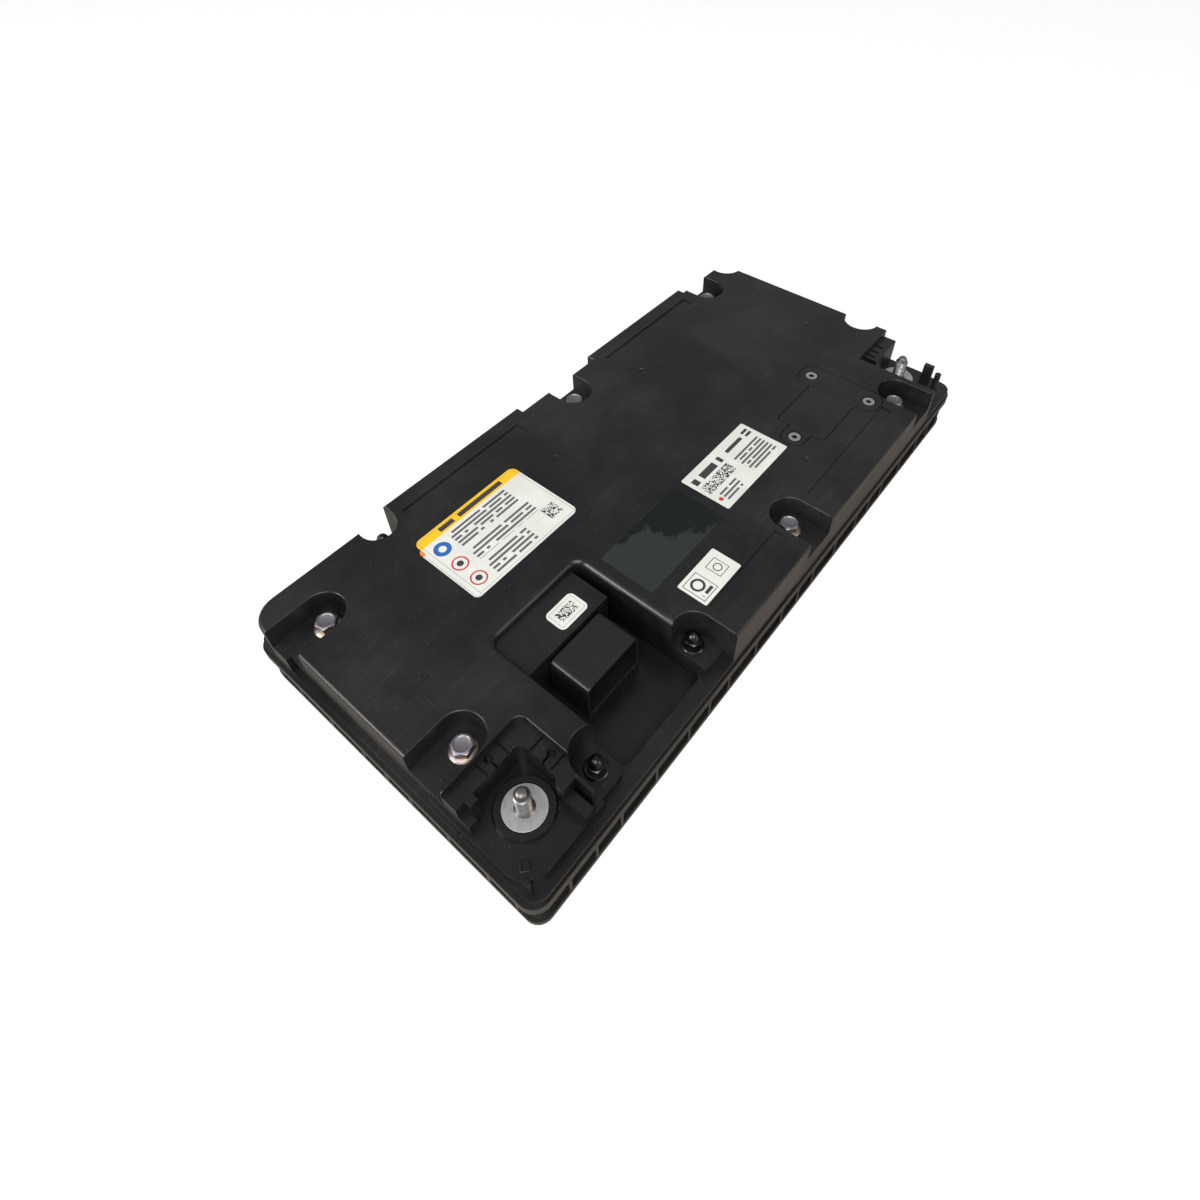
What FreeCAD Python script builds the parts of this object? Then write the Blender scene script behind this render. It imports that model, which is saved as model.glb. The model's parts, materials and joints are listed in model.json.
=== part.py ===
import FreeCAD, Part
import os
import re
from FreeCAD import Vector

# Low battery pack: a ribbed lower housing closed by a moulded cover with a raised deck.
# Origin at the middle of the underside, +Z up, X along the long side, millimetres.

doc = FreeCAD.newDocument("battery_pack")
sheet = doc.addObject("Spreadsheet::Sheet", "Sizes")
sizes = {}
nodes = []

# Driving sizes of the two shells
SHELLS = {
    "housing_length": 422.0,
    "housing_width": 202.0,
    "housing_corner": 9.0,
    "seam_level": 26.5,
    "housing_wall": 3.0,
    "housing_floor": 3.0,
    "housing_rim_height": 6.5,
    "housing_foot_height": 4.0,
    "foot_inset": 1.0,
    "rib_depth": 3.5,
    "rib_thickness": 2.0,
    "rib_module": 88.0,
    "cover_inset_ends": 2.0,
    "cover_inset_sides": 1.0,
    "cover_corner": 8.0,
    "cover_wall": 2.5,
    "flange_rise": 4.5,
    "base_rise": 9.5,
    "base_inset_left": 1.5,
    "base_inset_right": 4.3,
    "base_inset_front": 4.5,
    "base_corner": 14.0,
    "nut_base_inset": 6.5,
    "nut_base_corner": 5.0,
    "ledge_rise": 16.0,
    "deck_rise": 29.5,
    "deck_corner": 14.0,
    "deck_round": 2.0,
    "deck_inset_left": 3.0,
    "deck_inset_right": 1.0,
    "deck_inset_back": 5.0,
    "rib_shift": 3.3,
    "seal_inset": 2.6,
    "seal_wide": 2.6,
    "rim_seal_thick": 1.5,
    "overrun": 5.0,
    "fit": 0.1,
}

# Forms of the deck
DECK_FORMS = {
    "corner_block_reach": 30.0,
    "slot_long": 90.0,
    "slot_wide": 8.6,
    "slot_deep": 0.8,
    "panel_deep": 0.7,
    "panel_wide": 7.0,
    "panel_one_end": 1.4,
    "panel_two_start": 35.6,
}

# Bolt pockets, dome nut pockets and edge scallops
POCKETS = {
    "pocket_radius": 11.8,
    "pocket_back_one_x": 20.0,
    "pocket_front_one_x": 17.2,
    "nut_pocket_radius": 11.6,
    "nut_three_radius": 10.3,
    "scallop_radius": 12.0,
}

# Terminal bays and the connector recess
BAYS = {
    "bay_corner": 5.0,
    "pad_rise": 25.5,
    "pad_back_depth": 8.4,
    "pad_side_depth": 8.6,
    "pad_inner_corner": 4.0,
    "tooth_reach": 3.7,
    "flare_reach": 3.6,
    "arm_wide": 4.6,
    "clip_rise": 18.0,
    "slit_thick": 1.7,
    "slit_deep": 3.0,
    "groove_wide": 1.2,
    "groove_deep": 1.5,
    "keyhole_radius": 2.1,
    "keyhole_deep": 4.0,
    "keyhole_slot": 1.1,
    "recess_floor_level": 23.0,
    "recess_corner": 6.0,
    "recess_round": 4.0,
    "plateau_rise": 24.5,
}

# Electrical terminals
TERMINALS = {
    "collar_radius": 14.6,
    "collar_slope": 0.9,
    "collar_gap": 0.3,
    "collar_height": 2.2,
    "disc_radius": 10.4,
    "disc_height": 2.0,
    "stud_radius": 4.0,
    "stud_height": 17.0,
    "stud_tip": 3.0,
    "stud_tip_radius": 1.7,
    "stud_foot": 1.2,
    "stud_foot_slope": 0.9,
    "thread_depth": 10.5,
    "pin_radius": 2.0,
    "corner_pin_height": 12.5,
    "guide_pin_height": 12.0,
    "guide_post_wide": 6.4,
    "guide_post_thick": 3.0,
    "guide_post_height": 15.0,
}

# Signal connector header
HEADER = {
    "header_top_rise": 22.6,
    "header_wall": 1.8,
    "header_round": 4.0,
    "header_mouth_depth": 18.0,
    "contact_wide": 0.8,
    "contact_length": 11.0,
    "contact_pitch": 4.4,
    "contact_rise": 3.0,
    "contact_root": 3.0,
}

# Service plate
SERVICE_PLATE = {
    "plate_thick": 2.4,
    "plate_gap": 0.5,
    "plate_field_round": 3.0,
    "plate_round": 5.5,
    "plate_column_round": 8.0,
    "plate_screw_head": 3.8,
    "plate_screw_head_height": 2.2,
    "plate_screw_sink": 0.2,
    "plate_screw_gap": 0.6,
    "plate_screw_drive": 3.0,
    "plate_screw_drive_floor": 1.0,
    "plate_screw_reach": 8.0,
    "plate_screw_shank": 2.0,
    "plate_screw_length": 10.0,
    "seal_band": 2.6,
    "seal_margin": 1.0,
    "seal_thick": 0.8,
}

# Fasteners
FASTENERS = {
    "bolt_flange_radius": 7.1,
    "bolt_flange_height": 1.6,
    "bolt_flange_slope": 0.8,
    "bolt_hex_across": 10.0,
    "bolt_head_height": 6.4,
    "bolt_shank_radius": 3.0,
    "bolt_length": 23.0,
    "sleeve_across": 8.4,
    "boss_reach": 7.6,
    "stud_boss_reach": 4.8,
    "insert_across": 8.2,
    "insert_length": 14.0,
    "nut_flange_radius": 5.9,
    "nut_flange_height": 1.4,
    "nut_hex_across": 8.0,
    "nut_hex_height": 6.0,
    "nut_dome_radius": 3.75,
    "nut_dome_height": 5.0,
    "nut_dome_tip": 1.6,
    "frame_stud_radius": 2.5,
    "frame_stud_rise": 8.5,
    "frame_stud_depth": 12.0,
}

# Labels and the protective film
LABELS = {
    "label_thick": 0.12,
    "main_front": 12.8,
    "main_corner": 4.0,
    "under_reach": 20.0,
    "under_drop": 6.0,
    "under_corner": 3.0,
    "data_left": -1.8,
    "data_corner": 1.0,
    "patch_corner": 3.0,
    "film_gap": 6.8,
}

# Cell stack and electronics
INSIDE = {
    "spreader_thick": 2.0,
    "pad_thick": 1.0,
    "stack_room_left": 140.0,
    "stack_room_right": 145.0,
    "stack_room_side": 40.0,
    "cell_thick": 10.6,
    "cell_height": 39.0,
    "cell_gap": 0.7,
    "end_plate_thick": 3.0,
    "end_plate_margin": 2.0,
    "end_plate_drop": 1.0,
    "spacer_inset": 3.0,
    "spacer_drop": 2.0,
    "spreader_margin": 3.0,
    "band_thick": 0.9,
    "band_height": 18.0,
    "band_level": 12.0,
    "cell_post_reach": 3.5,
    "cell_post_height": 2.0,
    "cell_post_y": 44.0,
    "link_width": 12.0,
    "link_thick": 1.2,
    "link_inset": 1.0,
    "monitor_width": 56.0,
    "monitor_margin": 4.8,
    "monitor_lift": 1.0,
    "monitor_foot_reach": 2.5,
    "monitor_foot_inset": 6.0,
    "board_thick": 1.6,
    "control_level": 18.0,
    "standoff_reach": 2.8,
    "standoff_inset": 5.0,
    "contactor_y": 28.0,
    "contactor_length": 44.0,
    "contactor_width": 36.0,
    "contactor_height": 32.0,
    "lug_reach": 4.0,
    "lug_height": 3.0,
    "fuse_length": 34.0,
    "fuse_radius": 8.0,
    "fuse_blade_length": 16.0,
    "fuse_blade_reach": 6.0,
    "fuse_blade_thick": 2.0,
    "fuse_block_height": 18.0,
    "fuse_block_wide": 14.0,
    "bar_width": 7.4,
    "bar_thick": 2.0,
    "bar_level": 8.0,
    "bar_tab_reach": 10.0,
    "bar_climb_length": 12.0,
    "bar_lap_reach": 5.0,
    "arm_reach": 7.0,
    "stud_nut_across": 13.0,
    "stud_nut_height": 5.0,
    "shunt_base_height": 14.0,
    "shunt_base_reach": 12.0,
    "shunt_reach": 8.0,
    "shunt_overhang": 4.0,
    "shunt_thick": 3.0,
    "shunt_lap": 10.0,
    "shunt_length": 34.0,
}

# Places along X, each counted from the left end of the housing
FROM_LEFT = {
    "bulge_one_start": 89.7,
    "bulge_one_end": 196.0,
    "slot_one_start": 94.7,
    "panel_one_start": 150.4,
    "pocket_left_x": 26.7,
    "nut_one_x": 59.5,
    "nut_two_x": 137.8,
    "nut_two_pocket_x": 133.7,
    "nut_three_x": 79.4,
    "bay_one_right": 51.0,
    "pad_one_left": 4.5,
    "tooth_start": 9.8,
    "tooth_end": 14.2,
    "clip_right_left": 38.6,
    "clip_right_right": 44.0,
    "groove_one_x": 22.8,
    "groove_two_x": 35.4,
    "keyhole_one_x": 28.6,
    "keyhole_two_x": 47.8,
    "recess_left": 68.0,
    "recess_right": 130.4,
    "plateau_right": 125.4,
    "positive_x": 27.0,
    "corner_pin_x": 4.6,
    "header_left": 79.8,
    "header_right": 118.4,
    "main_left": 82.8,
    "main_right": 156.6,
    "under_left": 80.6,
    "small_left": 149.4,
    "small_right": 181.2,
    "patch_left": 96.0,
    "patch_right": 115.6,
    "film_left": 138.5,
    "stack_start": 140.0,
    "control_left": 13.0,
    "control_right": 123.0,
}

# Places along X, each counted from the right end
FROM_RIGHT = {
    "bulge_two_start": 158.4,
    "bulge_two_end": 54.3,
    "slot_two_start": 152.7,
    "panel_two_end": 81.0,
    "pocket_back_two_x": 39.5,
    "pocket_front_two_x": 61.2,
    "bay_two_left": 45.0,
    "pad_two_left": 36.0,
    "pad_two_right": 6.3,
    "slit_one_x": 33.4,
    "slit_two_x": 27.6,
    "slit_three_x": 20.8,
    "negative_x": 24.0,
    "guide_pin_x": 17.4,
    "guide_post_x": 15.8,
    "plate_left": 132.0,
    "plate_right": 89.0,
    "plate_column_left": 91.6,
    "plate_column_right": 71.6,
    "plate_tab_left": 146.6,
    "plate_tab_right": 127.0,
    "plate_screw_one_x": 81.4,
    "plate_screw_two_x": 81.4,
    "plate_screw_three_x": 139.2,
    "window_left": 123.0,
    "window_right": 98.0,
    "data_right": 149.8,
    "contactor_x": 113.0,
    "fuse_x": 108.5,
    "shunt_x": 51.0,
}

# Places along Y, each counted from the front side, where the bays and the connector open
FROM_FRONT = {
    "panel_front_line": 21.4,
    "pocket_left_front_y": 67.8,
    "pocket_front_y": 20.5,
    "nut_one_y": 18.0,
    "nut_two_y": 21.0,
    "nut_two_pocket_y": 18.4,
    "scallop_one_y": 75.0,
    "bay_back": 55.4,
    "flare_start": 24.4,
    "flare_end": 17.7,
    "arm_end": 8.6,
    "clip_left_front": 40.5,
    "clip_right_front": 6.0,
    "pad_two_front": 46.0,
    "slit_end": 49.0,
    "groove_three_y": 40.2,
    "groove_four_y": 27.4,
    "keyhole_one_y": 52.4,
    "keyhole_two_y": 33.0,
    "recess_back": 92.0,
    "plateau_front": 66.4,
    "positive_y": 30.6,
    "negative_y": 33.0,
    "corner_pin_y": 7.2,
    "guide_pin_y": 9.0,
    "guide_post_y": 16.6,
    "header_back": 64.8,
    "header_front": 40.6,
    "plate_back": 67.0,
    "plate_front": 35.0,
    "plate_column_back": 79.0,
    "plate_column_front": 22.6,
    "plate_tab_back": 58.2,
    "plate_tab_front": 43.2,
    "plate_screw_one_y": 71.4,
    "plate_screw_two_y": 30.2,
    "plate_screw_three_y": 50.4,
    "window_back": 62.0,
    "window_front": 40.0,
    "data_back": 82.0,
    "data_front": 49.1,
    "small_back": 40.6,
    "small_front": 22.4,
    "patch_back": 83.4,
    "patch_front": 70.0,
    "film_back": 82.2,
    "film_front": 48.0,
    "fuse_y": 56.0,
    "bar_line": 32.4,
    "shunt_y": 71.0,
}

# Places along Y, each counted from the back side
FROM_BACK = {
    "corner_block_start": 33.0,
    "slot_back_line": 12.2,
    "pocket_left_back_y": 33.4,
    "pocket_back_y": 18.0,
    "nut_three_y": 10.0,
    "scallop_two_y": 10.0,
    "main_back": 36.0,
    "control_back": 44.0,
    "control_front": 99.0,
}

TABLES = (SHELLS, DECK_FORMS, POCKETS, BAYS, TERMINALS, HEADER, SERVICE_PLATE, FASTENERS, LABELS, INSIDE,
          FROM_LEFT, FROM_RIGHT, FROM_FRONT, FROM_BACK)
for table in TABLES:
    for alias, value in table.items():
        sizes[alias] = value
        sheet.set("A%d" % len(sizes), str(value))
        sheet.setAlias("A%d" % len(sizes), alias)

doc.recompute()

# Building blocks: every size and place is an expression of the sheet's words

WORD = re.compile(r"[a-z][a-z_]*")


ENDS = (
    (FROM_LEFT, "(Sizes.%s - Sizes.housing_length / 2)"),
    (FROM_RIGHT, "(Sizes.housing_length / 2 - Sizes.%s)"),
    (FROM_FRONT, "(Sizes.%s - Sizes.housing_width / 2)"),
    (FROM_BACK, "(Sizes.housing_width / 2 - Sizes.%s)"),
)


def cells(text):
    """Turn words into references to the sheet's cells; a place counts from its own side of the housing."""
    def swap(found):
        word = found.group(0)
        for places, form in ENDS:
            if word in places:
                return form % word
        return "Sizes." + word if word in sizes else word
    return WORD.sub(swap, str(text))


ruler = doc.addObject("Part::Vertex", "Ruler")


def level(text):
    """Value of an expression of the sheet's words, for code that picks edges or radii."""
    ruler.setExpression("X", cells("(%s) * 1" % text))
    ruler.recompute()
    return float(ruler.X)


def place(item, spot):
    """Bind the place of an object to three expressions."""
    for axis, text in zip("xyz", spot):
        item.setExpression("Placement.Base." + axis, cells(text))
    return item


def box(name, low, high):
    """A block from its low corner to its high corner."""
    item = doc.addObject("Part::Box", name)
    for field, start, end in zip(("Length", "Width", "Height"), low, high):
        item.setExpression(field, cells("(%s) - (%s)" % (end, start)))
    return place(item, low)


def drum(name, spot, radius, height):
    """An upright cylinder on a spot."""
    item = doc.addObject("Part::Cylinder", name)
    item.setExpression("Radius", cells(radius))
    item.setExpression("Height", cells(height))
    return place(item, spot)


def cone(name, spot, low_radius, high_radius, height):
    """An upright truncated cone on a spot."""
    item = doc.addObject("Part::Cone", name)
    item.setExpression("Radius1", cells(low_radius))
    item.setExpression("Radius2", cells(high_radius))
    item.setExpression("Height", cells(height))
    return place(item, spot)


def hexagon(name, spot, across, height):
    """An upright hexagonal prism, given across its flats."""
    item = doc.addObject("Part::Prism", name)
    item.Polygon = 6
    item.setExpression("Circumradius", cells("(%s) / 2 / cos(30)" % across))
    item.setExpression("Height", cells(height))
    return place(item, spot)


def join(name, *parts):
    """Fuse parts into one solid."""
    item = doc.addObject("Part::MultiFuse", name)
    item.Shapes = list(parts)
    item.Refine = True
    return item


def cut(name, base, *tools):
    """Take tools away from a base."""
    tool = tools[0] if len(tools) == 1 else join(name + "_tools", *tools)
    item = doc.addObject("Part::Cut", name)
    item.Base = base
    item.Tool = tool
    item.Refine = True
    return item


def overlap(name, base, tool):
    """Keep what two parts share."""
    item = doc.addObject("Part::Common", name)
    item.Base = base
    item.Tool = tool
    item.Refine = True
    return item


def group(name, parts):
    """Several separate solids in one node."""
    item = doc.addObject("Part::Compound", name)
    item.Links = list(parts)
    return item


def upright(edge):
    """True for a straight edge along Z."""
    ends = [point.Point for point in edge.Vertexes]
    return len(ends) == 2 and abs(ends[0].x - ends[1].x) + abs(ends[0].y - ends[1].y) < 1e-6


def rounded(name, base, choose):
    """Round edges of a base: choose gives each edge an expression of its radius, or nothing."""
    doc.recompute()
    item = doc.addObject("Part::Fillet", name)
    item.Base = base
    picked = [(i + 1, choose(edge)) for i, edge in enumerate(base.Shape.Edges)]
    item.Edges = [(i, level(radius), level(radius)) for i, radius in picked if radius]
    return item


def slab(name, low, high, radius):
    """A block with four rounded upright edges."""
    return rounded(name, box(name + "_block", low, high), lambda edge: radius if upright(edge) else None)


def post(name, spot, reach, height):
    """A square upright post centred on a spot."""
    x, y, z = spot
    return box(name, ("%s - (%s)" % (x, reach), "%s - (%s)" % (y, reach), z),
               ("%s + (%s)" % (x, reach), "%s + (%s)" % (y, reach), "%s + %s" % (z, height)))


def channel(name, spot, radius, height, way, reach):
    """A U-shaped pocket tool: a round end on the spot, open one way as far as reach."""
    x, y, z = spot
    end = drum(name + "_end", spot, radius, height)
    lows = {"left": (reach, "%s - (%s)" % (y, radius)), "back": ("%s - (%s)" % (x, radius), y),
            "front": ("%s - (%s)" % (x, radius), reach)}
    highs = {"left": (x, "%s + (%s)" % (y, radius)), "back": ("%s + (%s)" % (x, radius), reach),
             "front": ("%s + (%s)" % (x, radius), y)}
    low = lows[way] + (z,)
    high = highs[way] + ("%s + (%s)" % (z, height),)
    return join(name, end, box(name + "_run", low, high))


def node(label, item):
    """Name a finished piece."""
    item.Label = label
    nodes.append(item)
    return item


# Levels and edges worked out from the driving sizes
SEAM = "seam_level"
FLANGE = "(seam_level + flange_rise)"
BASE = "(seam_level + base_rise)"
LEDGE = "(seam_level + ledge_rise)"
DECK = "(seam_level + deck_rise)"
HALF_LONG = "(housing_length / 2)"
HALF_WIDE = "(housing_width / 2)"
COVER_X = "(housing_length / 2 - cover_inset_ends)"
COVER_Y = "(housing_width / 2 - cover_inset_sides)"
DECK_LEFT = "(cover_inset_ends + deck_inset_left - housing_length / 2)"
DECK_RIGHT = "(housing_length / 2 - cover_inset_ends - deck_inset_right)"
DECK_BACK = "(housing_width / 2 - cover_inset_sides - deck_inset_back)"
DECK_FRONT = "(cover_inset_sides - housing_width / 2)"
TUB_FRONT = "(rib_depth + housing_wall + fit - housing_width / 2)"
BASE_FRONT = "(cover_inset_sides + base_inset_front - housing_width / 2)"
PAD = "(seam_level + pad_rise)"
CLIP = "(seam_level + clip_rise)"
ABOVE = "(seam_level + deck_rise + overrun)"
FAR = "housing_length"

BOLTS = [
    ("pocket_left_x", "pocket_left_back_y", "left"),
    ("pocket_left_x", "pocket_left_front_y", "left"),
    ("pocket_back_one_x", "pocket_back_y", "back"),
    ("pocket_back_two_x", "pocket_back_y", "back"),
    ("pocket_front_one_x", "pocket_front_y", "front"),
    ("pocket_front_two_x", "pocket_front_y", "front"),
]
NUTS = [("nut_one_x", "nut_one_y"), ("nut_two_x", "nut_two_y"), ("nut_three_x", "nut_three_y")]
NUT_POCKETS = [
    ("nut_one_x", "nut_one_y", "front", "nut_pocket_radius"),
    ("nut_two_pocket_x", "nut_two_pocket_y", "front", "nut_pocket_radius"),
    ("nut_three_x", "nut_three_y", "back", "nut_three_radius"),
]
REACH = {"left": "-housing_length", "back": "housing_length", "front": "-housing_length"}


def run(name, spot, radius, top, way):
    """A square-ended pocket tool, for walls that nobody sees."""
    x, y, z = spot
    left = "-" + FAR if way == "left" else "%s - (%s)" % (x, radius)
    front = "-" + FAR if way == "front" else "%s - (%s)" % (y, radius)
    back = FAR if way == "back" else "%s + (%s)" % (y, radius)
    return box(name, (left, front, z), ("%s + (%s)" % (x, radius), back, top))


def pockets():
    """Bolt pockets, the upper part of the nut pockets, and the scallops of the right edge."""
    tools = []
    for i, (x, y, way) in enumerate(BOLTS):
        tools.append(channel("open_bolt_%d" % i, (x, y, LEDGE), "pocket_radius", "deck_rise", way, REACH[way]))
    for i, (x, y, way, radius) in enumerate(NUT_POCKETS):
        tools.append(channel("open_nut_%d" % i, (x, y, BASE), radius, "deck_rise", way, REACH[way]))
    for i, y in enumerate(("scallop_one_y", "scallop_two_y")):
        tools.append(drum("open_scallop_%d" % i, (DECK_RIGHT, y, LEDGE), "scallop_radius", "deck_rise"))
    return tools


def guards():
    """Walls and floors that stay round the pockets and bays when the cover is hollowed."""
    tools = []
    for i, (x, y, way) in enumerate(BOLTS):
        tools.append(run("guard_bolt_%d" % i, (x, y, "%s - cover_wall" % LEDGE), "pocket_radius + cover_wall",
                         ABOVE, way))
    for i, (x, y, way, radius) in enumerate(NUT_POCKETS):
        tools.append(run("guard_nut_%d" % i, (x, y, "%s - cover_wall" % BASE), "%s + cover_wall" % radius,
                         ABOVE, way))
    for i, y in enumerate(("scallop_one_y", "scallop_two_y")):
        reach = "scallop_radius + cover_wall"
        low = ("%s - (%s)" % (DECK_RIGHT, reach), "%s - (%s)" % (y, reach), "%s - cover_wall" % LEDGE)
        tools.append(box("guard_scallop_%d" % i, low, (FAR, "%s + %s" % (y, reach), ABOVE)))
    return tools + bays("guard", "cover_wall", "%s - cover_wall" % BASE)


def bays(tag, grow, floor):
    """Both terminal bays, open towards the near edge."""
    one = box(tag + "_bay_one", ("-" + FAR, "-" + FAR, floor),
              ("bay_one_right + %s" % grow, "bay_back + %s" % grow, ABOVE))
    two = box(tag + "_bay_two", ("bay_two_left - %s" % grow, "-" + FAR, floor),
              (FAR, "bay_back + %s" % grow, ABOVE))
    return [one, two]


def round_corner(name, base, x, y, radius):
    """Round the upright edges of a base that stand on one spot."""
    spot = Vector(level(x), level(y), 0)

    def choose(edge):
        point = edge.Vertexes[0].Point
        return radius if upright(edge) and abs(point.x - spot.x) + abs(point.y - spot.y) < 1e-6 else None

    doc.recompute()
    return rounded(name, base, choose)


def make_deck():
    """Raised deck with its bulges and corner block, opened for the connector and softly crowned."""
    main = box("deck_main", (DECK_LEFT, DECK_FRONT, FLANGE), (DECK_RIGHT, DECK_BACK, DECK))
    trim = box("deck_trim", ("-" + COVER_X, "%s - deck_corner" % DECK_BACK, FLANGE),
               ("-%s + deck_corner" % COVER_X, COVER_Y, ABOVE))
    block = box("deck_block", ("-" + COVER_X, "corner_block_start", FLANGE),
                ("-%s + corner_block_reach" % COVER_X, DECK_BACK, DECK))
    corner = round_corner("deck_block_round", block, "-" + COVER_X, DECK_BACK, "deck_corner")
    one = box("deck_bulge_one", ("bulge_one_start", DECK_FRONT, FLANGE), ("bulge_one_end", COVER_Y, DECK))
    two = box("deck_bulge_two", ("bulge_two_start", DECK_FRONT, FLANGE), ("bulge_two_end", COVER_Y, DECK))
    whole = join("deck_whole", cut("deck_trimmed", main, trim), corner, one, two)
    opening = slab("deck_opening", ("recess_left", "-" + FAR, SEAM), ("recess_right", "recess_back", ABOVE),
                   "recess_corner")
    deck = cut("deck_opened", whole, opening)
    top = level(DECK)
    sides = (level("recess_left"), level("recess_right"), level("recess_back"))

    def crown(edge):
        ends = [point.Point for point in edge.Vertexes]
        if not all(abs(end.z - top) < 1e-6 for end in ends):
            return None
        middle = edge.valueAt((edge.FirstParameter + edge.LastParameter) / 2)
        rim = sides[0] - 0.01 < middle.x < sides[1] + 0.01 and middle.y < sides[2] + 0.01
        return "recess_round" if rim else "deck_round"

    return rounded("deck", deck, crown)


def make_shell():
    """Closed moulding of the cover: flange, deck and connector tub, hollowed from below."""
    flange = slab("cover_flange", ("-" + COVER_X, "-" + COVER_Y, SEAM), (COVER_X, COVER_Y, FLANGE),
                  "cover_corner")
    base = base_block("base_one", ("-%s + base_inset_left" % COVER_X, BASE_FRONT),
                      ("recess_left", "bay_back + pocket_radius"), "base_corner", "left")
    tub = box("tub_block", ("recess_left - cover_wall", TUB_FRONT, "recess_floor_level - cover_wall"),
              ("recess_right + cover_wall", "recess_back + cover_wall", FLANGE))
    solid = join("cover_solid", flange, base, make_deck(), tub)
    room = slab("cover_room", ("%s + cover_wall" % DECK_LEFT, "%s + cover_wall" % BASE_FRONT, "0"),
                ("%s - base_inset_right - cover_wall" % COVER_X, "%s - cover_wall" % DECK_BACK,
                 "%s - cover_wall" % DECK), "deck_corner - cover_wall")
    shaft = box("cover_room_recess", ("recess_left - cover_wall", "-" + FAR, "recess_floor_level - cover_wall"),
                ("recess_right + cover_wall", "recess_back + cover_wall", ABOVE))
    guard = join("cover_guard", shaft, *guards())
    return cut("cover_shell", solid, cut("cover_hollow", room, guard))


def base_block(name, low, high, radius, side):
    """A raised base on the flange, rounded at its near outer corner."""
    block = box(name, low + (FLANGE,), high + (BASE,))
    return round_corner(name + "_round", block, low[0] if side == "left" else high[0], low[1], radius)


def low_space():
    """Room of the terminal bays and nut pockets down to the flange, round the bases, pads and collars."""
    one, two = bays("low", "0", FLANGE)
    areas = [round_corner("low_bay_one_round", one, "bay_one_right", "bay_back", "bay_corner"), two]
    for i, (x, y, way, radius) in enumerate(NUT_POCKETS[:2]):
        areas.append(run("low_nut_%d" % i, (x, y, FLANGE), radius, BASE, way))
    bases = [
        base_block("keep_one", ("-%s + base_inset_left" % COVER_X, BASE_FRONT), ("bay_one_right", "bay_back"),
                   "base_corner", "left"),
        base_block("keep_two", ("bay_two_left", BASE_FRONT), ("%s - base_inset_right" % COVER_X, "bay_back"),
                   "base_corner", "right"),
        base_block("keep_nut_one", ("bay_one_right - fit", "%s + nut_base_inset" % DECK_FRONT),
                   ("recess_left", "bay_back"), "nut_base_corner", "right"),
        box("keep_nut_two", ("recess_right", "%s + nut_base_inset" % DECK_FRONT, FLANGE),
            ("nut_two_x + nut_pocket_radius", "bay_back", BASE)),
    ]
    return cut("low_room", join("low_areas", *areas), join("bay_blocks", *(bases + bay_pads())))


def bay_pads():
    """Pads, clips, pins, posts and collars that stand in the bays."""
    back = "bay_back - pad_back_depth"
    side = "bay_one_right - pad_side_depth"
    arm = "bay_one_right - arm_wide"
    pad_back = box("pad_one_back", ("pad_one_left", back, BASE), ("bay_one_right", "bay_back", PAD))
    pad_side = box("pad_one_side", (side, "flare_end", BASE), ("bay_one_right", "bay_back", PAD))
    flare = box("pad_one_flare", ("%s - flare_reach" % side, "flare_end", BASE),
                ("bay_one_right", "flare_start", PAD))
    flare = round_corner("pad_flare_round", flare, "%s - flare_reach" % side, "flare_start",
                         "flare_reach - fit")
    frame = join("pad_frame_block", pad_back, pad_side)
    frame = round_corner("pad_frame", frame, side, back, "pad_inner_corner")
    items = [
        join("pad_one", frame, flare),
        box("pad_one_arm", (arm, "arm_end", BASE), ("bay_one_right", "flare_end", PAD)),
        box("pad_one_tooth", ("tooth_start", "%s - tooth_reach" % back, BASE), ("tooth_end", back, PAD)),
        box("clip_one_left", ("pad_one_left", "clip_left_front", BASE), ("tooth_start", back, CLIP)),
        box("clip_one_right", ("clip_right_left", "clip_right_front", BASE),
            ("clip_right_right", "flare_end", CLIP)),
        box("pad_two", ("pad_two_left", "pad_two_front", BASE), ("pad_two_right", "bay_back", PAD)),
        drum("corner_pin", ("corner_pin_x", "corner_pin_y", FLANGE), "pin_radius", "corner_pin_height"),
        drum("guide_pin", ("guide_pin_x", "guide_pin_y", BASE), "pin_radius", "guide_pin_height"),
        box("guide_post", ("guide_post_x - guide_post_thick / 2", "guide_post_y - guide_post_wide / 2", BASE),
            ("guide_post_x + guide_post_thick / 2", "guide_post_y + guide_post_wide / 2",
             "%s + guide_post_height" % BASE)),
    ]
    for tag, x, y in STUDS:
        ring = cone("collar_cone_" + tag, (x, y, BASE), "collar_radius", "collar_radius - collar_slope",
                    "collar_height")
        bore = drum("collar_bore_" + tag, (x, y, BASE), "disc_radius + collar_gap", "deck_rise")
        items.append(cut("collar_" + tag, ring, bore))
    return items


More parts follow.
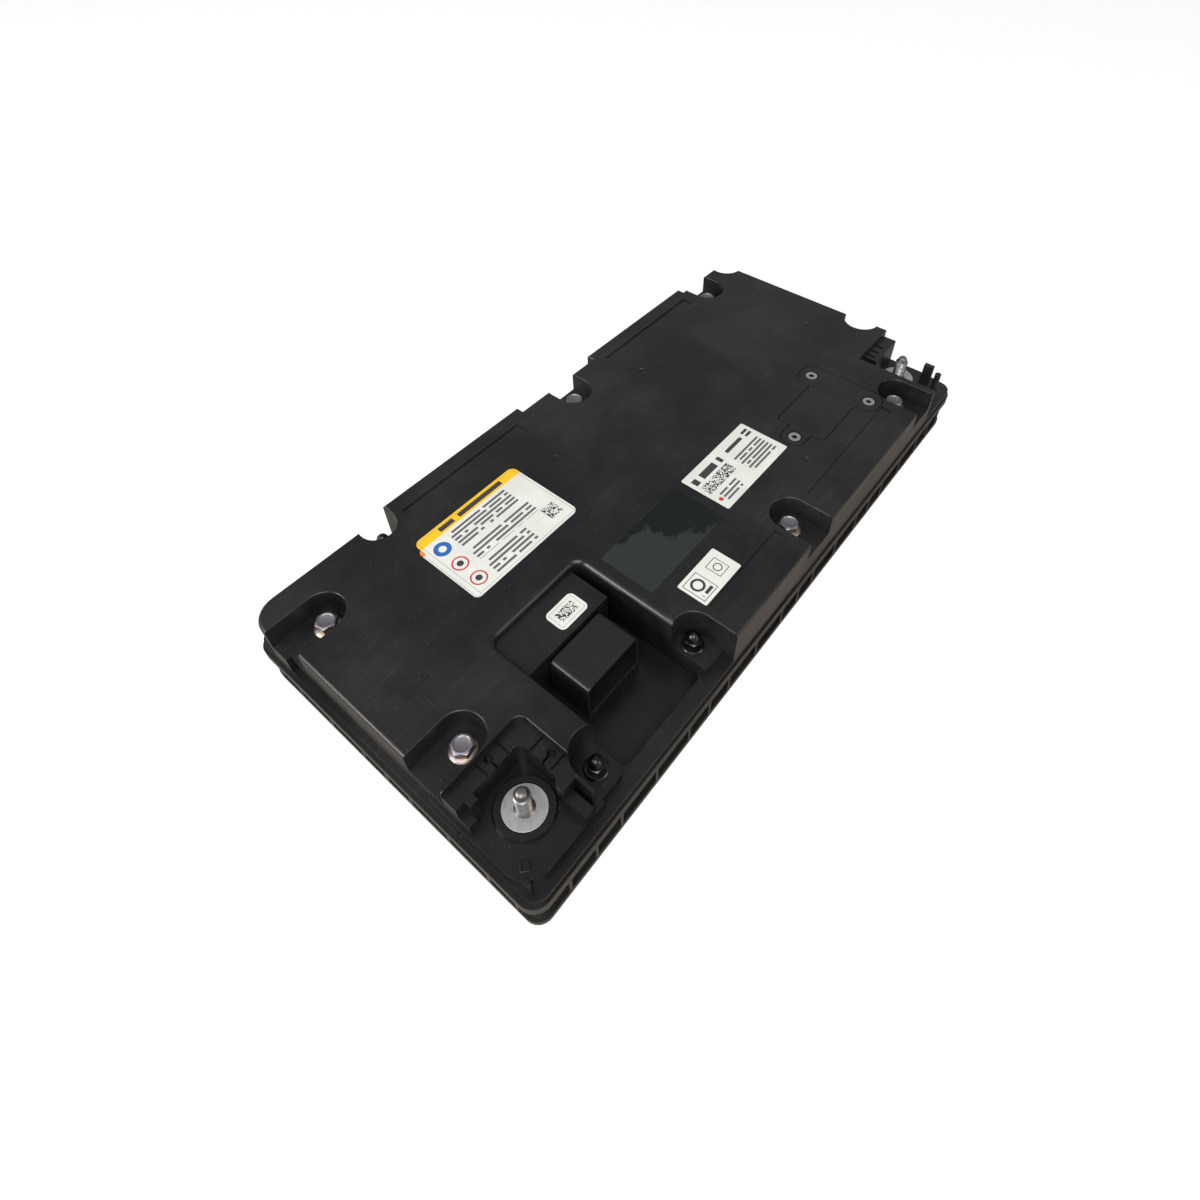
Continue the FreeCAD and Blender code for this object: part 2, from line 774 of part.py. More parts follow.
def make_cover():
    """Cover with pockets, bays, recess, fastener bosses and surface details."""
    bosses = []
    holes = []
    for i, (x, y, way) in enumerate(BOLTS):
        bosses.append(post("cover_boss_%d" % i, (x, y, SEAM), "boss_reach", "ledge_rise - cover_wall / 2"))
        holes.append(hexagon("cover_hole_%d" % i, (x, y, "0"), "sleeve_across", ABOVE))
    for i, (x, y) in enumerate(NUTS):
        bosses.append(post("cover_stud_boss_%d" % i, (x, y, SEAM), "stud_boss_reach",
                           "base_rise - cover_wall / 2"))
        holes.append(drum("cover_stud_hole_%d" % i, (x, y, "0"), "frame_stud_radius + fit", ABOVE))
    for tag, x, y in STUDS:
        holes.append(drum("cover_terminal_hole_" + tag, (x, y, "0"), "stud_radius", ABOVE))
    under = "%s - plate_thick" % DECK
    for i, (x, y) in enumerate(PLATE_SCREWS):
        low = "%s - plate_screw_length" % under
        bosses.append(post("plate_boss_%d" % i, (x, y, low), "plate_screw_shank + cover_wall",
                           "plate_screw_length"))
        holes.append(drum("plate_hole_%d" % i, (x, y, "%s + plate_screw_head_height - plate_thick" % low),
                          "plate_screw_shank", "deck_rise"))
    bosses.append(box("plate_floor", ("plate_tab_left - cover_wall", "plate_column_front - cover_wall",
                                      "%s - cover_wall" % under),
                      ("plate_column_right + cover_wall", "plate_column_back + cover_wall",
                       "%s - cover_wall / 2" % DECK)))
    window = box("service_window", ("window_left", "window_front", "%s - 2 * cover_wall" % DECK),
                 ("window_right", "window_back", ABOVE))
    plateau = box("recess_plateau", ("recess_left - cover_wall", "plateau_front", "recess_floor_level"),
                  ("plateau_right", "recess_back + cover_wall", "seam_level + plateau_rise"))
    full = join("cover_full", make_shell(), plateau, *bosses)
    low = slab("recess_low", ("recess_left", "%s + cover_wall" % TUB_FRONT, "recess_floor_level"),
               ("recess_right", "recess_back", FLANGE), "recess_corner")
    high = slab("recess_high", ("recess_left", "-" + FAR, FLANGE),
                ("recess_right", "recess_back", "%s - recess_round" % DECK), "recess_corner")
    recess = cut("recess_space", join("recess_room", low, high), plateau)
    tools = pockets() + holes + surface_details()
    tools += [low_space(), recess, plate_outline("plate_space", "plate_gap", under, ABOVE), window]
    return node("upper_cover", cut("cover_cut", full, *tools))


STUDS = [("positive", "positive_x", "positive_y"), ("negative", "negative_x", "negative_y")]

PLATE_SCREWS = [
    ("plate_screw_one_x", "plate_screw_one_y"),
    ("plate_screw_two_x", "plate_screw_two_y"),
    ("plate_screw_three_x", "plate_screw_three_y"),
]


def plate_outline(name, grow, low, high):
    """Outline of the service plate: a field, a column with two screws and a tab with one."""
    parts = []
    for tag, left, front, right, back, radius in (
            ("field", "plate_left", "plate_front", "plate_right", "plate_back",
             "plate_field_round"),
            ("column", "plate_column_left", "plate_column_front", "plate_column_right", "plate_column_back",
             "plate_column_round"),
            ("tab", "plate_tab_left", "plate_tab_front", "plate_tab_right", "plate_tab_back", "plate_round")):
        low_corner = ("%s - %s" % (left, grow), "%s - %s" % (front, grow), low)
        high_corner = ("%s + %s" % (right, grow), "%s + %s" % (back, grow), high)
        parts.append(slab("%s_%s" % (name, tag), low_corner, high_corner, "%s + %s" % (radius, grow)))
    return join(name, *parts)


def surface_details():
    """Shallow slots and panels of the deck, and the keyholes, grooves and slits of the pads."""
    details = []
    for tag, start in (("one", "slot_one_start"), ("two", "slot_two_start")):
        details.append(box("slot_" + tag, (start, "slot_back_line - slot_wide", "%s - slot_deep" % DECK),
                           ("%s + slot_long" % start, "slot_back_line", ABOVE)))
    for tag, start, end in (("one", "panel_one_start", "panel_one_end"),
                            ("two", "panel_two_start", "panel_two_end")):
        details.append(box("panel_" + tag, (start, "panel_front_line - panel_wide", "%s - panel_deep" % DECK),
                           (end, "panel_front_line", ABOVE)))
    deep = "%s - keyhole_deep" % PAD
    half = "keyhole_slot / 2"
    back = "bay_back - pad_back_depth"
    side = "bay_one_right - pad_side_depth"
    details += [
        drum("keyhole_one", ("keyhole_one_x", "keyhole_one_y", deep), "keyhole_radius", "deck_rise"),
        box("keyslot_one", ("keyhole_one_x - %s" % half, back, deep),
            ("keyhole_one_x + %s" % half, "keyhole_one_y", ABOVE)),
        drum("keyhole_two", ("keyhole_two_x", "keyhole_two_y", deep), "keyhole_radius", "deck_rise"),
        box("keyslot_two", (side, "keyhole_two_y - %s" % half, deep),
            ("keyhole_two_x", "keyhole_two_y + %s" % half, ABOVE)),
    ]
    shallow = "%s - groove_deep" % PAD
    for tag, x in (("one", "groove_one_x"), ("two", "groove_two_x")):
        details.append(box("groove_" + tag, (x, back, shallow), ("%s + groove_wide" % x, "bay_back", ABOVE)))
    for tag, y in (("three", "groove_three_y"), ("four", "groove_four_y")):
        details.append(box("groove_" + tag, (side, y, shallow),
                           ("bay_one_right", "%s + groove_wide" % y, ABOVE)))
    for tag, x in (("one", "slit_one_x"), ("two", "slit_two_x"), ("three", "slit_three_x")):
        details.append(box("slit_" + tag, (x, "slit_end", "%s - slit_deep" % PAD),
                           ("%s + slit_thick" % x, "bay_back", ABOVE)))
    return details


RIB_SHARES = (0.0, 0.2, 0.5, 0.8)


def make_housing():
    """Lower housing: a tub with a rim, a foot, upright ribs and bosses for the fasteners."""
    wall_x = "(%s - rib_depth)" % HALF_LONG
    wall_y = "(%s - rib_depth)" % HALF_WIDE
    tub = slab("housing_tub", ("-" + wall_x, "-" + wall_y, "0"), (wall_x, wall_y, SEAM),
               "housing_corner - rib_depth")
    rim = slab("housing_rim", ("-" + HALF_LONG, "-" + HALF_WIDE, "%s - housing_rim_height" % SEAM),
               (HALF_LONG, HALF_WIDE, SEAM), "housing_corner")
    foot_x = "(%s - foot_inset)" % HALF_LONG
    foot_y = "(%s - foot_inset)" % HALF_WIDE
    foot = slab("housing_foot", ("-" + foot_x, "-" + foot_y, "0"), (foot_x, foot_y, "housing_foot_height"),
                "housing_corner - foot_inset")
    outline = slab("housing_outline", ("-" + foot_x, "-" + foot_y, "0"), (foot_x, foot_y, SEAM),
                   "housing_corner - foot_inset")
    ribs = []
    module = level("rib_module")
    half = level("housing_length / 2 - housing_corner")
    turns = int(half / module) + 1
    starts = [(k + share) * module for k in range(-turns, turns) for share in RIB_SHARES]
    shift = level("rib_shift")
    for i, x in enumerate(x + shift for x in starts if abs(x + shift) < half):
        ribs.append(box("rib_long_%d" % i, (x, "-" + foot_y, "0"),
                        ("%.3f + rib_thickness" % x, foot_y, SEAM)))
    half = level("housing_width / 2 - housing_corner")
    for i, y in enumerate(y for y in starts if abs(y) < half):
        ribs.append(box("rib_short_%d" % i, ("-" + foot_x, y, "0"),
                        (foot_x, "%.3f + rib_thickness" % y, SEAM)))
    rib_set = overlap("housing_ribs", join("housing_rib_bars", *ribs), outline)
    solid = join("housing_solid", tub, rim, foot, rib_set)
    room_x = "(%s - rib_depth - housing_wall)" % HALF_LONG
    room_y = "(%s - rib_depth - housing_wall)" % HALF_WIDE
    room = slab("housing_room", ("-" + room_x, "-" + room_y, "housing_floor"), (room_x, room_y, ABOVE),
                "housing_corner - rib_depth - housing_wall")
    bosses = []
    bores = []
    for i, (x, y, way) in enumerate(BOLTS):
        bosses.append(post("housing_boss_%d" % i, (x, y, "housing_floor / 2"), "boss_reach",
                           "seam_level - housing_floor / 2"))
        bores.append(hexagon("housing_bore_%d" % i, (x, y, "%s - insert_length" % SEAM), "insert_across",
                             SEAM))
    for i, (x, y) in enumerate(NUTS):
        bosses.append(post("housing_stud_boss_%d" % i, (x, y, "housing_floor / 2"), "stud_boss_reach",
                           "seam_level - housing_floor / 2"))
        bores.append(drum("housing_stud_bore_%d" % i, (x, y, "%s - frame_stud_depth" % SEAM),
                          "frame_stud_radius", ABOVE))
    groove = seal_ring("seal_groove", "%s - rim_seal_thick" % SEAM, "2 * rim_seal_thick")
    hollow = cut("housing_hollow", solid, room)
    housing = cut("housing_cut", join("housing_bossed", hollow, *bosses), groove, *bores)
    return node("lower_housing", housing)


def seal_ring(name, low, height):
    """A rounded ring that runs round the rim."""
    outer_x = "(%s - seal_inset)" % HALF_LONG
    outer_y = "(%s - seal_inset)" % HALF_WIDE
    high = "%s + %s" % (low, height)
    outer = slab(name + "_outer", ("-" + outer_x, "-" + outer_y, low), (outer_x, outer_y, high),
                 "housing_corner - seal_inset")
    inner_x = "(%s - seal_inset - seal_wide)" % HALF_LONG
    inner_y = "(%s - seal_inset - seal_wide)" % HALF_WIDE
    inner = slab(name + "_inner", ("-" + inner_x, "-" + inner_y, "%s - overrun" % low),
                 (inner_x, inner_y, "%s + overrun" % high), "housing_corner - seal_inset - seal_wide")
    return cut(name, outer, inner)


def make_fasteners():
    """Flange bolts with sleeves and inserts, dome nuts on studs, plate screws."""
    bolts = []
    sleeves = []
    inserts = []
    for i, (x, y, way) in enumerate(BOLTS):
        flange = cone("bolt_flange_%d" % i, (x, y, LEDGE), "bolt_flange_radius",
                      "bolt_flange_radius - bolt_flange_slope", "bolt_flange_height")
        head = hexagon("bolt_hex_%d" % i, (x, y, LEDGE), "bolt_hex_across", "bolt_head_height")
        shank = drum("bolt_shank_%d" % i, (x, y, "%s - bolt_length" % LEDGE), "bolt_shank_radius",
                     "bolt_length + bolt_flange_height")
        bolts.append(join("bolt_%d" % i, flange, head, shank))
        tube = hexagon("sleeve_tube_%d" % i, (x, y, SEAM), "sleeve_across", "ledge_rise")
        bore = drum("sleeve_bore_%d" % i, (x, y, "0"), "bolt_shank_radius + fit", ABOVE)
        sleeves.append(cut("sleeve_%d" % i, tube, bore))
        plug = hexagon("insert_plug_%d" % i, (x, y, "%s - insert_length" % SEAM), "insert_across",
                       "insert_length")
        bore = drum("insert_bore_%d" % i, (x, y, "0"), "bolt_shank_radius + fit", ABOVE)
        inserts.append(cut("insert_%d" % i, plug, bore))
    node("cover_bolts", group("bolt_group", bolts))
    node("bolt_sleeves", group("sleeve_group", sleeves))
    node("threaded_inserts", group("insert_group", inserts))

    nuts = []
    studs = []
    for i, (x, y) in enumerate(NUTS):
        flange = drum("nut_flange_%d" % i, (x, y, BASE), "nut_flange_radius", "nut_flange_height")
        body = hexagon("nut_hex_%d" % i, (x, y, BASE), "nut_hex_across", "nut_hex_height")
        dome = cone("nut_dome_%d" % i, (x, y, "%s + nut_hex_height" % BASE), "nut_dome_radius", "nut_dome_tip",
                    "nut_dome_height")
        bore = drum("nut_bore_%d" % i, (x, y, "0"), "frame_stud_radius + fit",
                    "%s + frame_stud_rise + fit" % BASE)
        nuts.append(cut("nut_%d" % i, join("nut_solid_%d" % i, flange, body, dome), bore))
        low = "%s - frame_stud_depth" % SEAM
        studs.append(drum("frame_stud_%d" % i, (x, y, low), "frame_stud_radius",
                          "%s + frame_stud_rise - (%s)" % (BASE, low)))
    node("dome_nuts", group("nut_group", nuts))
    node("frame_studs", group("frame_stud_group", studs))

    screws = []
    for i, (x, y) in enumerate(PLATE_SCREWS):
        seat = "%s - plate_screw_head_height" % DECK
        head = drum("plate_screw_head_%d" % i, (x, y, seat), "plate_screw_head",
                    "plate_screw_head_height - plate_screw_sink")
        drive = hexagon("plate_screw_drive_%d" % i, (x, y, "%s + plate_screw_drive_floor" % seat),
                        "plate_screw_drive", "plate_screw_head_height")
        shank = drum("plate_screw_shank_%d" % i, (x, y, "%s - plate_screw_reach" % seat), "plate_screw_shank",
                     "plate_screw_reach + plate_screw_drive_floor")
        screws.append(join("plate_screw_%d" % i, cut("plate_screw_top_%d" % i, head, drive), shank))
    node("service_plate_screws", group("plate_screw_group", screws))


def make_service_plate():
    """Flush service plate with counterbored screw tabs, on a flat seal round the window."""
    low = "%s - plate_thick" % DECK
    plate = plate_outline("plate_solid", "0", low, DECK)
    tools = []
    for i, (x, y) in enumerate(PLATE_SCREWS):
        tools.append(drum("plate_counter_%d" % i, (x, y, "%s - plate_screw_head_height" % DECK),
                          "plate_screw_head + plate_screw_gap", "plate_thick"))
        tools.append(drum("plate_pass_%d" % i, (x, y, "0"), "plate_screw_shank + fit", ABOVE))
    ring = plate_seal("plate_seal_space", low, "seal_thick")
    tools.append(ring)
    node("service_plate", cut("plate_cut", plate, *tools))
    node("service_plate_seal", plate_seal("plate_seal", low, "seal_thick"))


def plate_seal(name, low, height):
    """A flat ring round the service window."""
    reach = "(seal_band + seal_margin)"
    outer = box(name + "_outer", ("window_left - " + reach, "window_front - " + reach, low),
                ("window_right + " + reach, "window_back + " + reach, "%s + %s" % (low, height)))
    inner = box(name + "_inner", ("window_left - seal_margin", "window_front - seal_margin",
                                  "%s - seal_thick" % low),
                ("window_right + seal_margin", "window_back + seal_margin",
                 "%s + %s + seal_thick" % (low, height)))
    return cut(name, outer, inner)


def make_terminals():
    """Positive and negative studs, each on a bright contact disc inside its collar."""
    for tag, x, y in STUDS:
        face = drum(tag + "_face", (x, y, BASE), "disc_radius", "disc_height")
        bore = drum(tag + "_disc_bore", (x, y, "0"), "stud_radius", ABOVE)
        node(tag + "_contact_disc", cut(tag + "_disc_ring", face, bore))
        top = "%s + disc_height + stud_height" % BASE
        low = "%s - cover_wall - thread_depth" % BASE
        rod = drum(tag + "_stud_rod", (x, y, low), "stud_radius", "%s - stud_tip - (%s)" % (top, low))
        tip = cone(tag + "_stud_tip", (x, y, "%s - stud_tip" % top), "stud_radius", "stud_tip_radius",
                   "stud_tip")
        foot = cone(tag + "_stud_foot", (x, y, "%s + disc_height" % BASE), "stud_radius + stud_foot_slope",
                    "stud_radius", "stud_foot")
        node(tag + "_stud", join(tag + "_stud_solid", rod, tip, foot))


def make_header():
    """Signal connector header with a mouth towards the near edge, and its contacts."""
    top = "(seam_level + header_top_rise)"
    block = box("header_block", ("header_left", "header_front", "recess_floor_level"),
                ("header_right", "header_back", top))
    mouth = box("header_mouth", ("header_left + header_wall", "header_front - overrun",
                                 "recess_floor_level + header_wall"),
                ("header_right - header_wall", "header_front + header_mouth_depth", "%s - header_wall" % top))

    def along(high):
        def choose(edge):
            ends = [point.Point for point in edge.Vertexes]
            flat = all(abs(end.z - level(high)) < 1e-6 for end in ends)
            return flat and abs(ends[0].x - ends[1].x) < 1e-6
        return choose

    doc.recompute()
    upper = along(top)
    lower = along("%s - header_wall" % top)
    shell = rounded("header_shell", block, lambda edge: "header_round" if upper(edge) else None)
    inner = rounded("header_inner", mouth, lambda edge: "header_round - header_wall" if lower(edge) else None)
    contacts = []
    holes = []
    back = "header_front + header_mouth_depth"
    for row in range(3):
        for column in range(7):
            x = "(header_left + header_right) / 2 + contact_pitch * %d" % (column - 3)
            z = "recess_floor_level + header_wall + contact_rise + contact_pitch * %d" % (row + 1)
            if row == 1 and column in (2, 3, 4):
                continue
            tag = "%d_%d" % (row, column)
            low = (x, "%s - contact_length" % back, z)
            high = ("%s + contact_wide" % x, "%s + contact_root" % back, "%s + contact_wide" % z)
            contacts.append(box("contact_" + tag, low, high))
            holes.append(box("contact_hole_" + tag, low, high))
    node("signal_header", cut("header_cut", shell, inner, *holes))
    node("signal_contacts", group("contact_group", contacts))


def make_labels():
    """Labels and the clear film, each a thin sheet with rounded corners lying on its seat."""
    def sheet_piece(label, left, front, right, back, seat, corner):
        low = (left, front, seat)
        high = (right, back, "%s + label_thick" % seat)
        return node(label, slab(label + "_sheet", low, high, corner))

    under = slab("under_sheet", ("under_left", "main_front", DECK),
                 ("under_left + under_reach", "main_back - under_drop", "%s + label_thick" % DECK),
                 "under_corner")
    sheet_piece("main_label", "main_left", "main_front", "main_right", "main_back", DECK, "main_corner")
    cover_space = slab("under_space", ("main_left", "main_front", DECK), ("main_right", "main_back", ABOVE),
                       "main_corner")
    node("under_label", cut("under_cut", under, cover_space))
    sheet_piece("data_label", "data_left", "data_front", "data_right", "data_back", DECK, "data_corner")
    sheet_piece("small_label", "small_left", "small_front", "small_right", "small_back", DECK, "data_corner")
    sheet_piece("clear_film", "film_left", "film_front", "data_left - film_gap", "film_back", DECK,
                "data_corner")
    seat = "(seam_level + plateau_rise)"
    sheet_piece("patch_label", "patch_left", "patch_front", "patch_right", "patch_back", seat, "patch_corner")


def make_stack():
    """Cell stack: heat spreader, soft pad, cells, spacers, end plates, bands, links, monitor board."""
    pitch = "(cell_thick + cell_gap)"
    count = int(level("(housing_length - stack_room_left - stack_room_right) / (cell_thick + cell_gap)"))
    floor = "(housing_floor + spreader_thick + pad_thick)"
    end = "(stack_start + %d * %s)" % (count, pitch)
    half = "(housing_width / 2 - stack_room_side)"
    plate_half = "(housing_width / 2 - stack_room_side + end_plate_margin)"
    node("heat_spreader", box("spreader", ("stack_start - spreader_margin", "-" + plate_half, "housing_floor"),
                              ("%s + spreader_margin - cell_gap" % end, plate_half,
                               "housing_floor + spreader_thick")))
    node("thermal_pad", box("soft_pad", ("stack_start", "-" + half, "housing_floor + spreader_thick"),
                            ("%s - cell_gap" % end, half, floor)))
    top = "(%s + cell_height)" % floor
    foams = []
    links = []
    link_low = "%s + cell_post_height" % top
    for i in range(count):
        x = "(stack_start + %d * %s)" % (i, pitch)
        can = box("cell_can_%d" % i, (x, "-" + half, floor), ("%s + cell_thick" % x, half, top))
        posts = [post("cell_post_%d_%d" % (i, k), ("%s + cell_thick / 2" % x, y, top), "cell_post_reach",
                      "cell_post_height") for k, y in enumerate(("cell_post_y", "-cell_post_y"))]
        node("cell_%02d" % (i + 1), join("cell_solid_%d" % i, can, *posts))
        if i:
            foams.append(box("foam_%d" % i,
                             ("%s - cell_gap" % x, "-%s + spacer_inset" % half, "%s + spacer_drop" % floor),
                             (x, "%s - spacer_inset" % half, "%s - spacer_drop" % top)))
            y = "cell_post_y" if i % 2 else "-cell_post_y"
            links.append(box("link_%d" % i,
                             ("%s - cell_gap - cell_thick + link_inset" % x, "%s - link_width / 2" % y, link_low),
                             ("%s + cell_thick - link_inset" % x, "%s + link_width / 2" % y,
                              "%s + link_thick" % link_low)))
    node("cell_spacers", group("foam_group", foams))
    node("cell_links", group("link_group", links))
    base = "(housing_floor + spreader_thick)"
    for tag, low_x, high_x in (
            ("left", "stack_start - end_plate_thick", "stack_start"),
            ("right", "%s - cell_gap" % end, "%s - cell_gap + end_plate_thick" % end)):
        node("end_plate_" + tag, box("end_" + tag, (low_x, "-" + plate_half, base),
                                     (high_x, plate_half, "%s - end_plate_drop" % top)))
    bands = []
    for k, (low_y, high_y) in enumerate(((plate_half, "%s + band_thick" % plate_half),
                                         ("-%s - band_thick" % plate_half, "-" + plate_half))):
        bands.append(box("band_%d" % k, ("stack_start - end_plate_thick", low_y, "band_level"),
                         ("%s - cell_gap + end_plate_thick" % end, high_y, "band_level + band_height")))
    node("tie_bands", group("band_group", bands))
    low_x = "(stack_start + monitor_margin)"
    high_x = "(%s - monitor_margin)" % end
    high = "%s + monitor_lift" % top
    node("monitor_board", box("monitor", (low_x, "-monitor_width / 2", high),
                              (high_x, "monitor_width / 2", "%s + board_thick" % high)))
    legs = []
    for side, x in enumerate(("%s + monitor_foot_inset" % low_x, "%s - monitor_foot_inset" % high_x)):
        for k, dy in enumerate((-1, 1)):
            spot = (x, "%d * (monitor_width / 2 - monitor_foot_inset)" % dy, top)
            legs.append(post("monitor_leg_%d_%d" % (side, k), spot, "monitor_foot_reach", "monitor_lift"))
    node("monitor_feet", group("monitor_leg_group", legs))


def make_electronics():
    """Control board, contactor, fuse, current shunt and the bars that join them."""
    node("control_board", box("control", ("control_left", "control_front", "control_level"),
                              ("control_right", "control_back", "control_level + board_thick")))
    posts = []
    corners = [(x, y) for y in ("control_front + standoff_inset", "control_back - standoff_inset")
               for x in ("control_left + standoff_inset", "control_right - standoff_inset")]
    for k, (x, y) in enumerate(corners):
        posts.append(post("standoff_%d" % k, (x, y, "housing_floor"), "standoff_reach",
                          "control_level - housing_floor"))
    node("board_standoffs", group("standoff_group", posts))

    low = ("contactor_x - contactor_length / 2", "contactor_y - contactor_width / 2", "housing_floor")
    high = ("contactor_x + contactor_length / 2", "contactor_y + contactor_width / 2",
            "housing_floor + contactor_height")
    case = box("contactor_case", low, high)
    lugs = [post("contactor_lug_%d" % k, ("contactor_x + %d * contactor_length / 4" % side, "contactor_y",
                                          "housing_floor + contactor_height"), "lug_reach", "lug_height")
            for k, side in enumerate((-1, 1))]
    node("contactor", join("contactor_solid", case, *lugs))

    block_top = "(housing_floor + fuse_block_height)"
    blocks = []
    for k, side in enumerate((-1, 1)):
        x = "(fuse_x + %d * (fuse_length / 2 + fuse_blade_length / 2))" % side
        blocks.append(box("fuse_block_%d" % k,
                          ("%s - fuse_blade_length / 2" % x, "fuse_y - fuse_block_wide / 2", "housing_floor"),
                          ("%s + fuse_blade_length / 2" % x, "fuse_y + fuse_block_wide / 2", block_top)))
    node("fuse_blocks", group("fuse_block_group", blocks))
    reach = "fuse_length / 2 + fuse_blade_length"
    blade = box("fuse_blade", ("fuse_x - (%s)" % reach, "fuse_y - fuse_blade_reach", block_top),
                ("fuse_x + %s" % reach, "fuse_y + fuse_blade_reach", "%s + fuse_blade_thick" % block_top))
    can = doc.addObject("Part::Cylinder", "fuse_can")
    can.setExpression("Radius", cells("fuse_radius"))
    can.setExpression("Height", cells("fuse_length"))
    can.Placement = FreeCAD.Placement(Vector(0, 0, 0), FreeCAD.Rotation(Vector(0, 1, 0), 90))
    place(can, ("fuse_x - fuse_length / 2", "fuse_y", "%s + fuse_blade_thick / 2" % block_top))
    node("main_fuse", join("fuse_solid", blade, can))

    front = "(bar_line - bar_width / 2)"
    rear = "(bar_line + bar_width / 2)"
    under = "(%s - cover_wall)" % BASE
    start = "(positive_x - bar_tab_reach)"
    finish = "(fuse_x - fuse_length / 2 - bar_thick)"
    lap = "(housing_floor + fuse_block_height + fuse_blade_thick)"
    bars = [
        box("bar_run", (start, front, "bar_level"), (finish, rear, "bar_level + bar_thick")),
        box("bar_rise", (start, front, "bar_level"), ("%s + bar_thick" % start, rear, under)),
        box("bar_tab", (start, "positive_y - bar_tab_reach", "%s - bar_thick" % under),
            ("positive_x + bar_tab_reach", rear, under)),
        box("bar_climb", ("%s - bar_climb_length" % finish, front, "bar_level"),
            (finish, "%s + bar_thick" % front, "%s + bar_thick" % lap)),
        box("bar_lap", ("%s - bar_climb_length" % finish, front, lap),
            (finish, "fuse_y + bar_lap_reach", "%s + bar_thick" % lap)),
    ]
    pass_hole = drum("bar_hole", ("positive_x", "positive_y", "0"), "stud_radius", ABOVE)
    node("positive_bar", cut("positive_bar_cut", join("positive_bar_solid", *bars), pass_hole))

    shunt_low = "(housing_floor + shunt_base_height)"
    shunt_top = "(housing_floor + shunt_base_height + shunt_thick)"
    half = "shunt_length / 2"
    base = box("shunt_base", ("shunt_x - " + half, "shunt_y - shunt_base_reach", "housing_floor"),
               ("shunt_x + " + half, "shunt_y + shunt_base_reach", shunt_low))
    node("shunt_base", base)
    strip = box("shunt_strip", ("shunt_x - %s - shunt_overhang" % half, "shunt_y - shunt_reach", shunt_low),
                ("shunt_x + %s + shunt_overhang" % half, "shunt_y + shunt_reach", shunt_top))
    node("current_shunt", strip)
    near = "negative_x - arm_reach"
    far = "negative_x + arm_reach"
    rear = "shunt_y + shunt_reach"
    arm = box("negative_arm", (near, "negative_y - shunt_reach", "%s - bar_thick" % under), (far, rear, under))
    drop = box("negative_drop", (near, "%s - bar_thick" % rear, shunt_top), (far, rear, under))
    foot = box("negative_lap", ("shunt_x + %s - shunt_lap" % half, "shunt_y - shunt_reach", shunt_top),
               (far, rear, "%s + bar_thick" % shunt_top))
    hole = drum("negative_bar_hole", ("negative_x", "negative_y", "0"), "stud_radius", ABOVE)
    nuts = []
    for tag, x, y in STUDS:
        low = "%s - bar_thick - stud_nut_height" % under
        block = hexagon("stud_nut_block_" + tag, (x, y, low), "stud_nut_across", "stud_nut_height")
        bore = drum("stud_nut_bore_" + tag, (x, y, "0"), "stud_radius", ABOVE)
        nuts.append(cut("stud_nut_" + tag, block, bore))
    node("stud_nuts", group("stud_nut_group", nuts))
    node("negative_bar", cut("negative_bar_cut", join("negative_bar_solid", arm, drop, foot), hole))


make_cover()
make_housing()
node("housing_seal", seal_ring("rim_seal", "%s - rim_seal_thick" % SEAM, "rim_seal_thick"))
make_fasteners()
make_service_plate()
make_terminals()
make_header()
make_labels()
make_stack()
make_electronics()

doc.recompute()
faulty = [item.Name for item in doc.Objects if {"Invalid", "Error"} & set(item.State)]
faulty += [item.Label for item in nodes if item.Shape.isNull() or not item.Shape.isValid()]
if faulty:
    raise RuntimeError("failed: " + ", ".join(faulty))
os.makedirs("parts", exist_ok=True)
for item in nodes:
    item.Shape.exportStep("parts/%s.step" % item.Label)
    print(item.Label, len(item.Shape.Solids), round(item.Shape.Volume))
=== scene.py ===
"""Looks of a low battery pack with a ribbed tub and a stepped black cover, on a pale studio floor."""

import json
import math

import bpy
from mathutils import Matrix, Vector


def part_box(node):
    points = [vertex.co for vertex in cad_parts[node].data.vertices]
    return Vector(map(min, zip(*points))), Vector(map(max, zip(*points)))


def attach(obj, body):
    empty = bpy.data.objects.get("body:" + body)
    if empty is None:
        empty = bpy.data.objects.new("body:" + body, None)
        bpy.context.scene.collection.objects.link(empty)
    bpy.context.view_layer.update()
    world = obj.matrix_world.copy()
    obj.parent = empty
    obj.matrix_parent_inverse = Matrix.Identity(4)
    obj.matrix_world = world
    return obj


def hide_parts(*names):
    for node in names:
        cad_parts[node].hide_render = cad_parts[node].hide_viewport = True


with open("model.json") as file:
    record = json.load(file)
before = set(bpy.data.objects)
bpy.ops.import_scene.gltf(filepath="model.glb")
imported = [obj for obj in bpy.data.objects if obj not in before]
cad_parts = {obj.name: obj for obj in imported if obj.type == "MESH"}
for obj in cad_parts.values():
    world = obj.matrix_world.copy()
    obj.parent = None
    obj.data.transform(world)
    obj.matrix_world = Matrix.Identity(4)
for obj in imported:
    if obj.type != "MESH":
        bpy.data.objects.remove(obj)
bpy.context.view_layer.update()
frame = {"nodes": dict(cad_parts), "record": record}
cad = frame["nodes"]

MM = 0.001
DECK = 56.0 * MM
PLATEAU = 51.0 * MM
HEAD_SEAT = 42.5 * MM
HEAD_TOP = 48.9 * MM
SCREW_TOP = 55.8 * MM
NUT_SEAT = 36.0 * MM
BAY_FLOOR = 36.0 * MM
ORIGIN = (0.0, 0.0)

